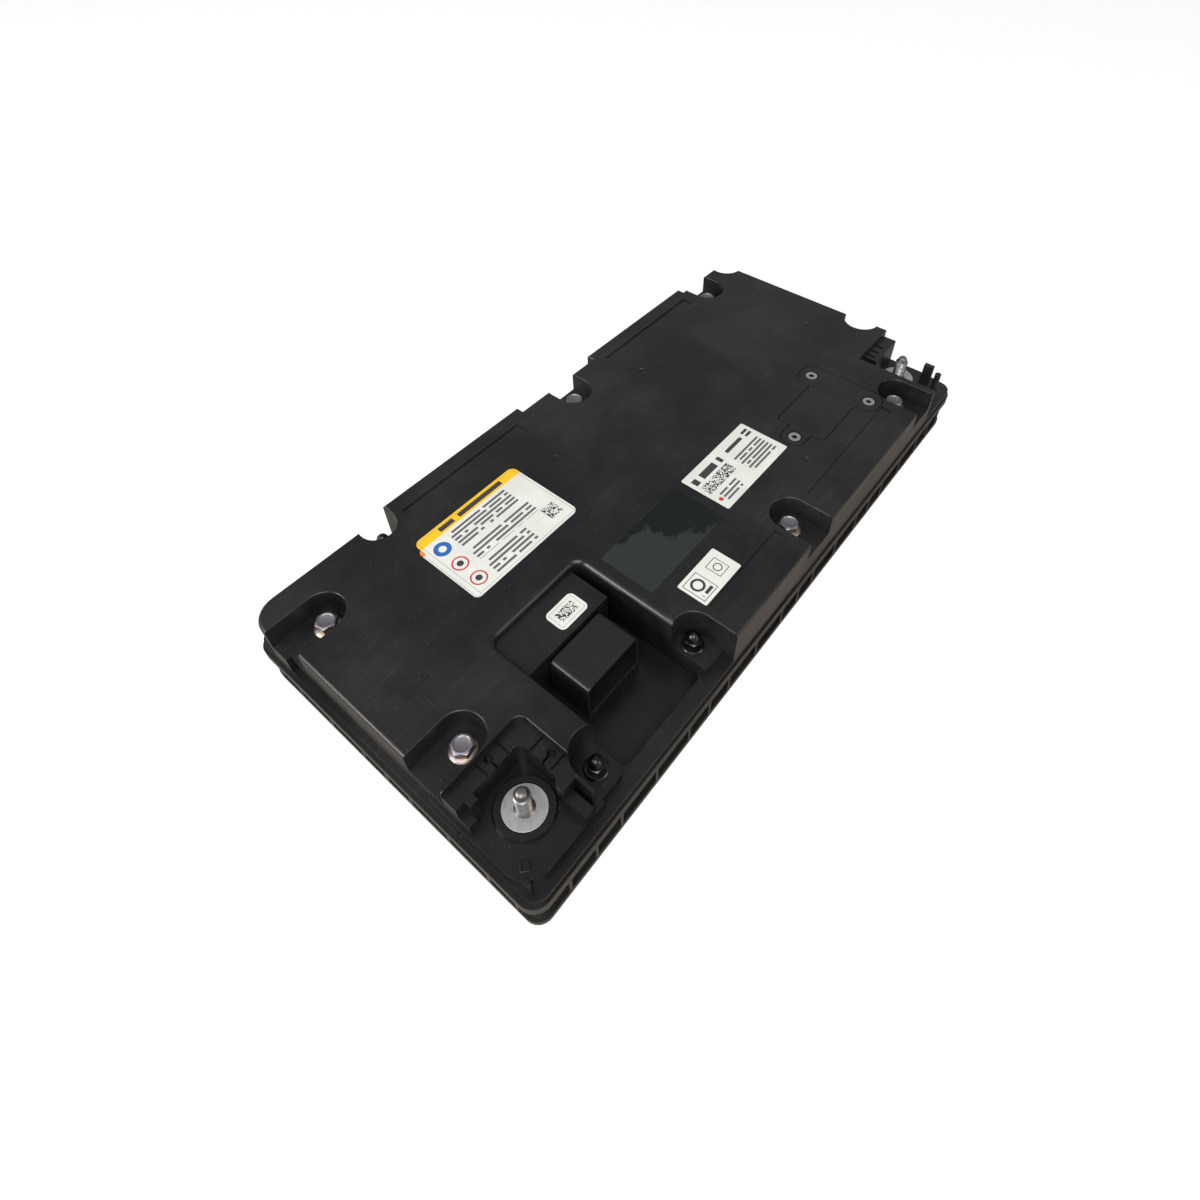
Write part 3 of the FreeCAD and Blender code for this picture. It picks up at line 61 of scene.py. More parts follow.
# Camera: its place and turn were found from the deck's corners in the photograph,
# whose frame is 1200 pixels wide
FRAME_PIXELS = 1200.0
FOCAL_PIXELS = 768.9
AXIS_PIXEL = (625.6, 450.0)
SENSOR_WIDTH = 36.0
CLIP_START = 10.0 * MM
CAMERA_PLACE = Vector((-0.2527, -0.1852, 0.381))
CAMERA_AZIMUTH = math.radians(-50.46)
CAMERA_HEIGHT_ANGLE = math.radians(44.96)
CAMERA_ROLL = math.radians(-0.487)


def make_camera():
    """Camera at the photograph's viewpoint, shifted so that its axis meets the right pixel."""
    level = math.cos(CAMERA_HEIGHT_ANGLE)
    side = Vector((math.cos(CAMERA_AZIMUTH), math.sin(CAMERA_AZIMUTH), 0.0))
    back = Vector((side.y * level, -side.x * level, math.sin(CAMERA_HEIGHT_ANGLE)))
    rise = back.cross(side)
    right = side * math.cos(CAMERA_ROLL) + rise * math.sin(CAMERA_ROLL)
    turn = Matrix((right, back.cross(right), back)).transposed().to_4x4()
    bpy.ops.object.camera_add(location=CAMERA_PLACE)
    camera = bpy.context.active_object
    camera.name = "photo_camera"
    camera.matrix_world = Matrix.Translation(CAMERA_PLACE) @ turn
    lens = camera.data
    lens.sensor_width = SENSOR_WIDTH
    lens.lens = SENSOR_WIDTH * FOCAL_PIXELS / FRAME_PIXELS
    lens.shift_x = (FRAME_PIXELS / 2 - AXIS_PIXEL[0]) / FRAME_PIXELS
    lens.shift_y = (AXIS_PIXEL[1] - FRAME_PIXELS / 2) / FRAME_PIXELS
    lens.clip_start = CLIP_START
    bpy.context.scene.camera = camera


# Small parts of a shader


def number(tree, operation, *values):
    """A maths node whose inputs are sockets or plain numbers; gives its output."""
    node = tree.nodes.new("ShaderNodeMath")
    node.operation = operation
    for slot, value in zip(node.inputs, values):
        if isinstance(value, (int, float)):
            slot.default_value = value
        else:
            tree.links.new(value, slot)
    return node.outputs[0]


def step(tree, value, low, high):
    """A smooth step of a value between two numbers."""
    node = tree.nodes.new("ShaderNodeMapRange")
    node.interpolation_type = "SMOOTHSTEP"
    tree.links.new(value, node.inputs["Value"])
    node.inputs["From Min"].default_value = low
    node.inputs["From Max"].default_value = high
    return node.outputs["Result"]


def range_of(tree, mask, low, high):
    """A value that follows a mask from low to high."""
    node = tree.nodes.new("ShaderNodeMapRange")
    tree.links.new(mask, node.inputs["Value"])
    node.inputs["To Min"].default_value = low
    node.inputs["To Max"].default_value = high
    return node.outputs["Result"]


def scaled(tree, vector, factors):
    """A vector stretched along its axes."""
    node = tree.nodes.new("ShaderNodeMapping")
    tree.links.new(vector, node.inputs["Vector"])
    node.inputs["Scale"].default_value = factors
    return node.outputs["Vector"]


def above(tree, place, low, high):
    """A mask of what lies above a height, with a soft edge from low to high."""
    split = tree.nodes.new("ShaderNodeSeparateXYZ")
    tree.links.new(place, split.inputs[0])
    return step(tree, split.outputs[2], low, high)


def noise(tree, vector, scale, detail=3.0, roughness=0.5, distortion=0.0):
    """Noise over a vector; gives its factor."""
    node = tree.nodes.new("ShaderNodeTexNoise")
    tree.links.new(vector, node.inputs["Vector"])
    node.inputs["Scale"].default_value = scale
    node.inputs["Detail"].default_value = detail
    node.inputs["Roughness"].default_value = roughness
    node.inputs["Distortion"].default_value = distortion
    return node.outputs["Fac"]


def mixed(tree, factor, first, second):
    """A blend of two colours, each a socket or a colour, led by a mask."""
    node = tree.nodes.new("ShaderNodeMix")
    node.data_type = "RGBA"
    tree.links.new(factor, node.inputs[0])
    for slot, value in ((node.inputs[6], first), (node.inputs[7], second)):
        if isinstance(value, tuple):
            slot.default_value = value + (1.0,)
        else:
            tree.links.new(value, slot)
    return node.outputs[2]


def bump(tree, shader, height, strength, distance):
    """Relief on a shader's normal."""
    node = tree.nodes.new("ShaderNodeBump")
    node.inputs["Strength"].default_value = strength
    node.inputs["Distance"].default_value = distance
    tree.links.new(height, node.inputs["Height"])
    tree.links.new(node.outputs["Normal"], shader.inputs["Normal"])


# Node groups: effects that several finishes share

SPECK_SETS = ((420.0, 0.10, 0.35), (1100.0, 0.14, 0.6))
SPECK_CHANCE = (0.93, 0.97)


def new_group(name, inputs, outputs):
    """An empty shader group with the given sockets; gives its tree and its two ends."""
    tree = bpy.data.node_groups.new(name, "ShaderNodeTree")
    for label, kind in inputs:
        tree.interface.new_socket(label, in_out="INPUT", socket_type=kind)
    for label, kind in outputs:
        tree.interface.new_socket(label, in_out="OUTPUT", socket_type=kind)
    return tree, tree.nodes.new("NodeGroupInput"), tree.nodes.new("NodeGroupOutput")


def dust_group():
    """Sparse pale specks and lint on a surface: a mask."""
    tree, start, end = new_group("dust_specks",
                                 [("Vector", "NodeSocketVector"), ("Amount", "NodeSocketFloat")],
                                 [("Mask", "NodeSocketFloat")])
    total = None
    for scale, size, share in SPECK_SETS:
        cells = tree.nodes.new("ShaderNodeTexVoronoi")
        cells.inputs["Scale"].default_value = scale
        tree.links.new(start.outputs["Vector"], cells.inputs["Vector"])
        spot = number(tree, "SUBTRACT", 1.0, step(tree, cells.outputs["Distance"], size / 2, size))
        split = tree.nodes.new("ShaderNodeSeparateColor")
        tree.links.new(cells.outputs["Color"], split.inputs[0])
        chosen = step(tree, split.outputs[0], *SPECK_CHANCE)
        speck = number(tree, "MULTIPLY", number(tree, "MULTIPLY", spot, chosen), share)
        total = speck if total is None else number(tree, "MAXIMUM", total, speck)
    tree.links.new(number(tree, "MULTIPLY", total, start.outputs["Amount"]), end.inputs["Mask"])
    return tree


def haze_group():
    """Broad cloudy haze, drawn-out wipes and fine scuffs: two masks."""
    tree, start, end = new_group("haze_and_scuffs",
                                 [("Vector", "NodeSocketVector")],
                                 [("Haze", "NodeSocketFloat"), ("Scuffs", "NodeSocketFloat")])
    vector = start.outputs["Vector"]
    cloud = noise(tree, vector, 14.0, detail=4.0, roughness=0.6, distortion=0.4)
    wiped = noise(tree, scaled(tree, vector, (9.0, 60.0, 30.0)), 3.0,
                  detail=5.0, roughness=0.65, distortion=0.6)
    wipes = number(tree, "MULTIPLY", step(tree, wiped, 0.5, 0.75), 0.4)
    haze = number(tree, "MULTIPLY", step(tree, cloud, 0.35, 0.7), number(tree, "ADD", 0.6, wipes))
    tree.links.new(haze, end.inputs["Haze"])
    thin, other = (noise(tree, scaled(tree, vector, factors), 1.0,
                         detail=2.0, roughness=0.4, distortion=0.2)
                   for factors in ((40.0, 900.0, 200.0), (700.0, 50.0, 200.0)))
    lines = number(tree, "MAXIMUM", step(tree, thin, 0.68, 0.74), step(tree, other, 0.70, 0.76))
    patches = step(tree, noise(tree, vector, 30.0, detail=2.0), 0.52, 0.7)
    tree.links.new(number(tree, "MULTIPLY", lines, patches), end.inputs["Scuffs"])
    return tree


def grain_group():
    """Fine eroded grain of a moulded surface: a height."""
    tree, start, end = new_group("moulded_grain",
                                 [("Vector", "NodeSocketVector")],
                                 [("Height", "NodeSocketFloat")])
    fine = noise(tree, start.outputs["Vector"], 1500.0, roughness=0.6)
    soft = noise(tree, start.outputs["Vector"], 90.0, detail=2.0)
    height = number(tree, "ADD", number(tree, "MULTIPLY", fine, 0.6),
                    number(tree, "MULTIPLY", soft, 0.4))
    tree.links.new(height, end.inputs["Height"])
    return tree


DUST = dust_group()
HAZE = haze_group()
GRAIN = grain_group()


def use(tree, group, vector):
    """Place a shared group in a tree on a vector."""
    node = tree.nodes.new("ShaderNodeGroup")
    node.node_tree = group
    tree.links.new(vector, node.inputs["Vector"])
    return node


def dusted(tree, place, base, amount, tone):
    """A colour with specks of dust over it."""
    specks = use(tree, DUST, place)
    specks.inputs["Amount"].default_value = amount
    return mixed(tree, specks.outputs["Mask"], base, tone)


# Finishes

PALE_DUST = (0.42, 0.41, 0.4)
SCUFF_TONE = (0.09, 0.09, 0.095)
SCUFF_STRENGTH = 0.16
GRAIN_DEPTH = 0.2 * MM
METAL_RELIEF = 0.1 * MM
METAL_PATCHES = 300.0
ZINC_GREY = (0.27, 0.245, 0.27)
ZINC_BLUE = (0.30, 0.305, 0.34)
ZINC_VIOLET = (0.34, 0.26, 0.30)
ZINC_STRAW = (0.40, 0.36, 0.30)
ZINC_TAN = (0.37, 0.31, 0.23)


def new_finish(name, metallic=0.0):
    """A material with a plain shader; gives it, its tree, its shader and Object coordinates."""
    finish = bpy.data.materials.new(name)
    finish.use_nodes = True
    tree = finish.node_tree
    shader = tree.nodes["Principled BSDF"]
    shader.inputs["Metallic"].default_value = metallic
    place = tree.nodes.new("ShaderNodeTexCoord").outputs["Object"]
    return finish, tree, shader, place


def plastic(name, colour, hazy, smoothest, roughest, dust, grain, shine=0.5):
    """Moulded plastic with haze, scuffs, dust and grain."""
    finish, tree, shader, place = new_finish(name)
    shader.inputs["Specular IOR Level"].default_value = shine
    haze = use(tree, HAZE, place)
    scuffs = number(tree, "MULTIPLY", haze.outputs["Scuffs"], SCUFF_STRENGTH)
    base = mixed(tree, scuffs, mixed(tree, haze.outputs["Haze"], colour, hazy), SCUFF_TONE)
    tree.links.new(dusted(tree, place, base, dust, PALE_DUST), shader.inputs["Base Color"])
    roughness = range_of(tree, haze.outputs["Haze"], smoothest, roughest)
    tree.links.new(roughness, shader.inputs["Roughness"])
    bump(tree, shader, use(tree, GRAIN, place).outputs["Height"], grain, GRAIN_DEPTH)
    return finish


def metal(name, colour, tint, smoothest, roughest):
    """A metal with a second tint in patches and uneven roughness."""
    finish, tree, shader, place = new_finish(name, metallic=1.0)
    patches = noise(tree, place, METAL_PATCHES, detail=4.0, roughness=0.6, distortion=0.5)
    base = mixed(tree, step(tree, patches, 0.35, 0.65), colour, tint)
    tree.links.new(base, shader.inputs["Base Color"])
    tree.links.new(range_of(tree, patches, smoothest, roughest), shader.inputs["Roughness"])
    bump(tree, shader, noise(tree, place, METAL_PATCHES * 4), 0.15, METAL_RELIEF)
    return finish


def zinc():
    """Zinc plate: blue grey on the heads' tops, faint violet and straw tints lower down."""
    finish, tree, shader, place = new_finish("passivated_zinc", metallic=1.0)
    drift = noise(tree, place, 260.0, roughness=0.55, distortion=1.2)
    ramp = tree.nodes.new("ShaderNodeValToRGB")
    tree.links.new(drift, ramp.inputs["Fac"])
    stops = ramp.color_ramp.elements
    stops[0].position, stops[0].color = 0.3, ZINC_GREY + (1.0,)
    stops[1].position, stops[1].color = 0.7, ZINC_TAN + (1.0,)
    stops.new(0.43).color = ZINC_VIOLET + (1.0,)
    stops.new(0.57).color = ZINC_STRAW + (1.0,)
    top = above(tree, place, HEAD_TOP - 1.0 * MM, HEAD_TOP - 0.2 * MM)
    grey = mixed(tree, step(tree, drift, 0.4, 0.62), ZINC_BLUE, ZINC_GREY)
    tree.links.new(mixed(tree, top, ramp.outputs["Color"], grey), shader.inputs["Base Color"])
    roughness = range_of(tree, noise(tree, place, 700.0), 0.36, 0.56)
    tree.links.new(roughness, shader.inputs["Roughness"])
    bump(tree, shader, noise(tree, place, 1500.0), 0.12, METAL_RELIEF)
    return finish


def screw_steel_with_painted_recess_shade():
    """Bright screw heads; all below the top face is near-black, painted shade for the drive recess
    and the heads' sides.
    """
    finish, tree, shader, place = new_finish("screw_steel_with_painted_recess_shade", metallic=1.0)
    top = above(tree, place, SCREW_TOP - 0.5 * MM, SCREW_TOP - 0.2 * MM)
    bright = mixed(tree, noise(tree, place, 500.0), (0.50, 0.50, 0.49), (0.66, 0.66, 0.65))
    # Painted shade: below the head's top face the colour is near-black, standing in for the shade in
    # the drive recess.
    tree.links.new(mixed(tree, top, (0.03, 0.03, 0.032), bright), shader.inputs["Base Color"])
    roughness = range_of(tree, noise(tree, place, 900.0), 0.22, 0.38)
    tree.links.new(roughness, shader.inputs["Roughness"])
    return finish


FINISHES = {
    "cover_plastic": plastic("satin_black_cover", (0.0055, 0.0055, 0.0065), (0.0200, 0.0200, 0.0205),
                             0.27, 0.46, 1.0, 0.12, shine=0.36),
    "housing_plastic": plastic("black_tub", (0.0065, 0.0063, 0.0065), (0.013, 0.012, 0.011),
                               0.34, 0.48, 0.4, 0.3, shine=0.36),
    "header_plastic": plastic("smooth_black", (0.0075, 0.0075, 0.0085), (0.013, 0.013, 0.014),
                              0.24, 0.34, 0.5, 0.04, shine=0.45),
    "seal_rubber": plastic("soft_seal", (0.02, 0.02, 0.02), (0.03, 0.03, 0.03), 0.6, 0.75, 0.1, 0.3),
    "zinc_steel": zinc(),
    "dark_steel": metal("blackened_steel", (0.035, 0.035, 0.04), (0.06, 0.055, 0.05), 0.22, 0.4),
    "bright_steel": metal("plain_steel", (0.27, 0.27, 0.28), (0.17, 0.165, 0.165), 0.34, 0.52),
    "contact_alloy": metal("turned_alloy", (0.66, 0.66, 0.65), (0.52, 0.52, 0.52), 0.38, 0.55),
    "brass": metal("plain_brass", (0.60, 0.45, 0.2), (0.5, 0.36, 0.16), 0.3, 0.45),
    "copper": metal("plain_copper", (0.66, 0.36, 0.24), (0.5, 0.26, 0.17), 0.3, 0.45),
    "tin": metal("tinned_contact", (0.62, 0.61, 0.57), (0.5, 0.49, 0.45), 0.25, 0.4),
    "cell_wrap": plastic("blue_wrap", (0.03, 0.06, 0.16), (0.035, 0.07, 0.18), 0.3, 0.4, 0.1, 0.1),
    "foam": plastic("dark_foam", (0.05, 0.05, 0.05), (0.07, 0.07, 0.07), 0.8, 0.9, 0.1, 0.5),
    "pad": plastic("gap_pad", (0.3, 0.3, 0.33), (0.34, 0.34, 0.36), 0.6, 0.7, 0.1, 0.2),
    "board_green": plastic("board_lacquer", (0.01, 0.08, 0.03), (0.015, 0.1, 0.04),
                           0.25, 0.35, 0.1, 0.1),
    "device_plastic": plastic("device_black", (0.012, 0.012, 0.013), (0.02, 0.02, 0.02),
                              0.4, 0.5, 0.1, 0.2),
    "fuse_body": plastic("fuse_ceramic", (0.6, 0.58, 0.5), (0.66, 0.64, 0.58), 0.4, 0.5, 0.1, 0.2),
}

slot_of = {item["node"]: item["material_slot"] for item in frame["record"]["subparts"]}


def dress(piece, finish):
    """Give a piece one finish all over."""
    piece.data.materials.clear()
    piece.data.materials.append(finish)


for name, node in cad.items():
    if slot_of[name] in FINISHES:
        dress(node, FINISHES[slot_of[name]])
dress(cad["service_plate_screws"], screw_steel_with_painted_recess_shade())


# Work on one piece at a time

SMOOTH_ANGLE = 35.0
SHARP_ANGLE = 40.0
FLAT_ANGLE = 0.6
FLAT_FACE_LEAD = 100
MERGE_DISTANCE = 0.02 * MM


def only(piece):
    """Select one object alone and make it active."""
    bpy.ops.object.select_all(action="DESELECT")
    piece.select_set(True)
    bpy.context.view_layer.objects.active = piece


def smooth(piece, angle):
    """Smooth shading up to an angle."""
    only(piece)
    bpy.ops.object.shade_smooth_by_angle(angle=math.radians(angle))
    return piece


def stand_for(piece, name):
    """Let a finished piece stand for a CAD node, in that node's finish unless it has its own."""
    if not piece.data.materials:
        piece.data.materials.append(FINISHES[slot_of[name]])
    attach(piece, "root")
    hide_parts(name)


def merged_copy(name):
    """A merged copy of a CAD node, its flat faces whole."""
    only(cad[name])
    bpy.ops.object.duplicate()
    piece = bpy.context.active_object
    piece.name = name + "_softened"
    bpy.ops.object.mode_set(mode="EDIT")
    bpy.ops.mesh.select_all(action="SELECT")
    bpy.ops.mesh.customdata_custom_splitnormals_clear()
    bpy.ops.mesh.remove_doubles(threshold=MERGE_DISTANCE)
    bpy.ops.mesh.dissolve_limited(angle_limit=math.radians(FLAT_ANGLE))
    bpy.ops.object.mode_set(mode="OBJECT")
    return piece


def round_edges(piece, width):
    """Bevel the sharp edges of a piece and let its flat faces lead the shading."""
    only(piece)
    bevel = piece.modifiers.new("soft_edges", "BEVEL")
    bevel.width = width
    bevel.segments = 2
    bevel.limit_method = "ANGLE"
    bevel.angle_limit = math.radians(SHARP_ANGLE)
    bpy.ops.object.modifier_apply(modifier=bevel.name)
    smooth(piece, SMOOTH_ANGLE)
    weights = piece.modifiers.new("flat_faces_lead", "WEIGHTED_NORMAL")
    weights.mode = "FACE_AREA_WITH_ANGLE"
    weights.weight = FLAT_FACE_LEAD
    weights.keep_sharp = True
    bpy.ops.object.modifier_apply(modifier=weights.name)
    return piece


def joined(parts, name):
    """Several pieces made one."""
    bpy.ops.object.select_all(action="DESELECT")
    for part in parts:
        part.select_set(True)
    bpy.context.view_layer.objects.active = parts[0]
    bpy.ops.object.join()
    whole = bpy.context.active_object
    whole.name = name
    return whole


def set_out(piece, places, name):
    """Copies of a piece made round the origin, each at its place and turn, joined into one."""
    copies = []
    for x, y, turn in places:
        only(piece)
        bpy.ops.object.duplicate()
        copy = bpy.context.active_object
        copy.location = (x * MM, y * MM, 0.0)
        copy.rotation_euler = (0.0, 0.0, math.radians(turn))
        bpy.ops.object.transform_apply(location=True, rotation=True, scale=True)
        copies.append(copy)
    only(piece)
    bpy.ops.object.delete()
    return joined(copies, name)


def cut_to(piece, form, way="INTERSECT"):
    """A piece cut down to the inside of a form, or with the form taken out of it."""
    only(piece)
    common = piece.modifiers.new("common", "BOOLEAN")
    common.operation = way
    common.solver = "EXACT"
    common.object = form
    bpy.ops.object.modifier_apply(modifier=common.name)
    only(form)
    bpy.ops.object.delete()
    return piece


def raised(level, rows):
    """A turning profile above a level, from rows of radius and height in millimetres."""
    return [(radius * MM, level + height * MM) for radius, height in rows]


def turned(name, profile, segments, centre=ORIGIN):
    """A solid turned about an upright axis: a disc drawn up along a profile of radii and levels."""
    x, y = centre
    radius, level = profile[0]
    bpy.ops.object.select_all(action="DESELECT")
    bpy.ops.mesh.primitive_circle_add(vertices=segments, radius=radius, fill_type="NGON",
                                      location=(x, y, level))
    piece = bpy.context.active_object
    piece.name = name
    bpy.ops.object.mode_set(mode="EDIT")
    bpy.ops.mesh.select_all(action="SELECT")
    for next_radius, next_level in profile[1:]:
        climb = {"value": (0.0, 0.0, next_level - level)}
        bpy.ops.mesh.extrude_region_move(TRANSFORM_OT_translate=climb)
        share = next_radius / radius
        bpy.ops.transform.resize(value=(share, share, 1.0), center_override=(x, y, next_level))
        radius, level = next_radius, next_level
    bpy.ops.mesh.select_all(action="SELECT")
    bpy.ops.mesh.normals_make_consistent(inside=False)
    bpy.ops.object.mode_set(mode="OBJECT")
    bpy.ops.object.transform_apply(location=True, rotation=True, scale=True)
    return piece


# Mouldings and discs whose sharp edges are only softened

SOFT_EDGES = {
    "lower_housing": 0.5 * MM,
    "signal_header": 0.3 * MM,
    "service_plate": 0.3 * MM,
    "service_plate_screws": 0.2 * MM,
    "positive_contact_disc": 0.25 * MM,
    "negative_contact_disc": 0.2 * MM,
}
for name, width in SOFT_EDGES.items():
    stand_for(round_edges(merged_copy(name), width), name)


# Terminal studs

STUD_RADIUS = 4.0 * MM
STUD_FOOT_RADIUS = 4.9 * MM
CREST_RADIUS = 3.95 * MM
ROOT_RADIUS = 3.45 * MM
THREAD_PITCH = 1.25 * MM
ROOT_START = 0.45 * THREAD_PITCH
ROOT_END = 0.55 * THREAD_PITCH
DISC_TOP = 38.0 * MM
STUD_FOOT_TOP = 39.2 * MM
THREAD_TOP = 52.2 * MM
THREAD_END_RADIUS = 3.3 * MM
THREAD_END_HEIGHT = 0.5 * MM
STUD_POINT = ((0.62, 0.9 * MM), (0.46, 0.25 * MM), (0.3, 0.0))


def make_stud(name):
    """A threaded stud: a plain shank, a foot on the disc, ridges and a rounded point."""
    low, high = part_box(name)
    centre = ((low.x + high.x) / 2, (low.y + high.y) / 2)
    profile = [(STUD_RADIUS, low.z), (STUD_RADIUS, DISC_TOP),
               (STUD_FOOT_RADIUS, DISC_TOP), (STUD_RADIUS, STUD_FOOT_TOP)]
    level = STUD_FOOT_TOP + THREAD_PITCH / 2
    while level + THREAD_PITCH < THREAD_TOP:
        profile += [(CREST_RADIUS, level), (ROOT_RADIUS, level + ROOT_START),
                    (ROOT_RADIUS, level + ROOT_END)]
        level += THREAD_PITCH
    profile += [(CREST_RADIUS, level), (THREAD_END_RADIUS, level + THREAD_END_HEIGHT)]
    profile += [(STUD_RADIUS * share, high.z - drop) for share, drop in STUD_POINT]
    stand_for(smooth(turned(name + "_threaded", profile, 40, centre), 25.0), name)


make_stud("positive_stud")
make_stud("negative_stud")


# Flange bolts and acorn nuts: places and turns in millimetres and degrees, profiles in millimetres

BOLT_PLACES = ((-184.3, 67.6, 12), (-184.3, -33.2, 41), (20.0, 83.0, 5),
               (171.5, 83.0, 27), (17.2, -80.5, 50), (149.8, -80.5, 33))
BOLT_FLANGE = ((6.9, 0.0), (7.1, 0.3), (7.1, 0.8), (6.7, 1.25), (5.5, 1.9), (4.5, 2.1))
BOLT_CROWN = ((6.5, -1.35), (5.0, -0.45), (4.85, -0.15), (4.55, 0.0),
              (3.95, 0.0), (3.7, -0.3), (3.5, -0.4), (0.5, -0.45))

NUT_PLACES = ((-151.5, -83.0, 20), (-73.2, -80.0, 8), (-131.6, 91.0, 38))
NUT_FLANGE = ((5.9, 0.0), (5.9, 0.7), (5.3, 1.4), (3.9, 1.4))
NUT_HEXAGON = ((4.62, 0.4), (4.62, 7.0))
NUT_CROWN = ((5.5, 0.2), (5.5, 5.2), (3.8, 6.2))
DOME_RADIUS = 3.6
DOME_ROOT = 5.4
DOME_FOOT = 6.0
DOME_HEIGHT = 5.0


def make_bolts():
    """Flange bolts: a shank, a coned flange and a hexagon with a chamfered, dished top."""
    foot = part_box("cover_bolts")[0].z
    shank_profile = raised(foot, ((2.6, 0.0), (3.0, 0.4))) + raised(HEAD_SEAT, ((3.0, 1.0),))
    hexagon_profile = raised(HEAD_SEAT, ((5.77, 1.0),)) + raised(HEAD_TOP, ((5.77, 0.5),))
    form_profile = raised(HEAD_SEAT, ((6.5, 0.5),)) + raised(HEAD_TOP, BOLT_CROWN)
    shank = turned("bolt_shank", shank_profile, 32)
    flange = turned("bolt_flange", raised(HEAD_SEAT, BOLT_FLANGE), 48)
    hexagon = turned("bolt_hexagon", hexagon_profile, 6)
    form = turned("bolt_form", form_profile, 48)
    bolt = smooth(joined([shank, flange, cut_to(hexagon, form)], "flange_bolt"), 28.0)
    stand_for(set_out(bolt, BOLT_PLACES, "flange_bolts"), "cover_bolts")


def make_nuts():
    """Acorn nuts: a thin flange, a hexagon with chamfered corners and a rounded dome."""
    flange = turned("nut_flange", raised(NUT_SEAT, NUT_FLANGE), 40)
    hexagon = turned("nut_hexagon", raised(NUT_SEAT, NUT_HEXAGON), 6)
    hexagon = cut_to(hexagon, turned("nut_form", raised(NUT_SEAT, NUT_CROWN), 40))
    rows = [(DOME_RADIUS, DOME_ROOT)]
    for degrees in range(0, 90, 10):
        bend = math.radians(degrees)
        rows.append((DOME_RADIUS * math.cos(bend), DOME_FOOT + DOME_HEIGHT * math.sin(bend)))
    dome = turned("nut_dome", raised(NUT_SEAT, rows), 32)
    nut = smooth(joined([flange, hexagon, dome], "acorn_nut"), 30.0)
    stand_for(set_out(nut, NUT_PLACES, "acorn_nuts"), "dome_nuts")


make_bolts()
make_nuts()


# Latch mark in the near bay's corner

LATCH_PLACE = (-200.6 * MM, -86.4 * MM)
LATCH_PAD = ((3.2, -0.2), (3.2, 0.5), (2.9, 0.7))
FIN_SHIFT = 1.1 * MM
FIN_LIFT = 0.7 * MM
FIN_SIZE = (3.6 * MM, 0.8 * MM, 1.8 * MM)
FIN_TURN = math.radians(45.0)


def make_latch_mark():
    """A low pad in the bay's corner, square to the corner's diagonal, with two upright fins."""
    x, y = LATCH_PLACE
    pad = turned("latch_pad", raised(BAY_FLOOR, LATCH_PAD), 4, LATCH_PLACE)
    parts = [round_edges(pad, 0.1 * MM)]
    for shift in (-FIN_SHIFT, FIN_SHIFT):
        bpy.ops.object.select_all(action="DESELECT")
        bpy.ops.mesh.primitive_cube_add(size=1.0, scale=FIN_SIZE, rotation=(0.0, 0.0, FIN_TURN),
                                        location=(x + shift, y - shift, BAY_FLOOR + FIN_LIFT))
        fin = bpy.context.active_object
        bpy.ops.object.transform_apply(location=True, rotation=True, scale=True)
        parts.append(round_edges(fin, 0.2 * MM))
    mark = smooth(joined(parts, "latch_mark"), SMOOTH_ANGLE)
    mark.data.materials.append(FINISHES["cover_plastic"])
    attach(mark, "root")


make_latch_mark()


# Cover: pin marks are pressed into the deck, then its tall rims are rounded, then all sharp edges

MARK_PLACES = ((-174.0, 0.8, 0), (-33.5, 50.8, 0), (62.9, 62.3, 0), (177.3, 2.7, 0), (58.7, -65.6, 0))
MARK_PIT = ((2.1, -0.45), (2.5, 0.5))
MARK_MIDDLE = ((1.2, -0.6), (1.2, -0.2), (0.8, -0.1))

RIM_ROUNDING = 0.9 * MM
RIM_SHARES = {DECK: 1.0, PLATEAU: 0.35}
RIM_NEAR = 0.1 * MM
TALL_WALL = 3.0 * MM
TOP_FACES_UP = 0.99
WALL_FACES_OUT = 0.7
WEB_LOW = (-210.0 * MM, -46.5 * MM)
WEB_HIGH = (-170.0 * MM, -42.5 * MM)


def in_thin_web(mesh, edge):
    """Whether an edge lies in the web by the near bay that is too thin for two broad rims."""
    first, second = (mesh.vertices[index].co for index in edge.vertices)
    middle = (first + second) / 2
    return all(low < value < high for low, value, high in zip(WEB_LOW, middle, WEB_HIGH))


def weigh_rims(piece):
    """Mark the edges where a flat top meets a tall wall, for a broader rounding."""
    mesh = piece.data
    beside = {}
    for face in mesh.polygons:
        for key in face.edge_keys:
            beside.setdefault(key, []).append(face)
    weights = mesh.attributes.new("bevel_weight_edge", "FLOAT", "EDGE")
    for edge in mesh.edges:
        faces = beside.get(tuple(sorted(edge.vertices)), ())
        levels = [mesh.vertices[index].co.z for index in edge.vertices]
        shares = [share for rim, share in RIM_SHARES.items()
                  if max(abs(level - rim) for level in levels) < RIM_NEAR]
        if len(faces) != 2 or not shares or in_thin_web(mesh, edge):
            continue
        top, wall = sorted(faces, key=lambda face: -face.normal.z)
        heights = [mesh.vertices[index].co.z for index in wall.vertices]
        is_tall = max(heights) - min(heights) > TALL_WALL
        if top.normal.z > TOP_FACES_UP and abs(wall.normal.z) < WALL_FACES_OUT and is_tall:
            weights.data[edge.index].value = shares[0]


def round_rims(piece):
    """Round the marked rims."""
    weigh_rims(piece)
    only(piece)
    bevel = piece.modifiers.new("round_rims", "BEVEL")
    bevel.width = RIM_ROUNDING
    bevel.segments = 3
    bevel.limit_method = "WEIGHT"
    bevel.use_clamp_overlap = False
    bpy.ops.object.modifier_apply(modifier=bevel.name)
    return piece


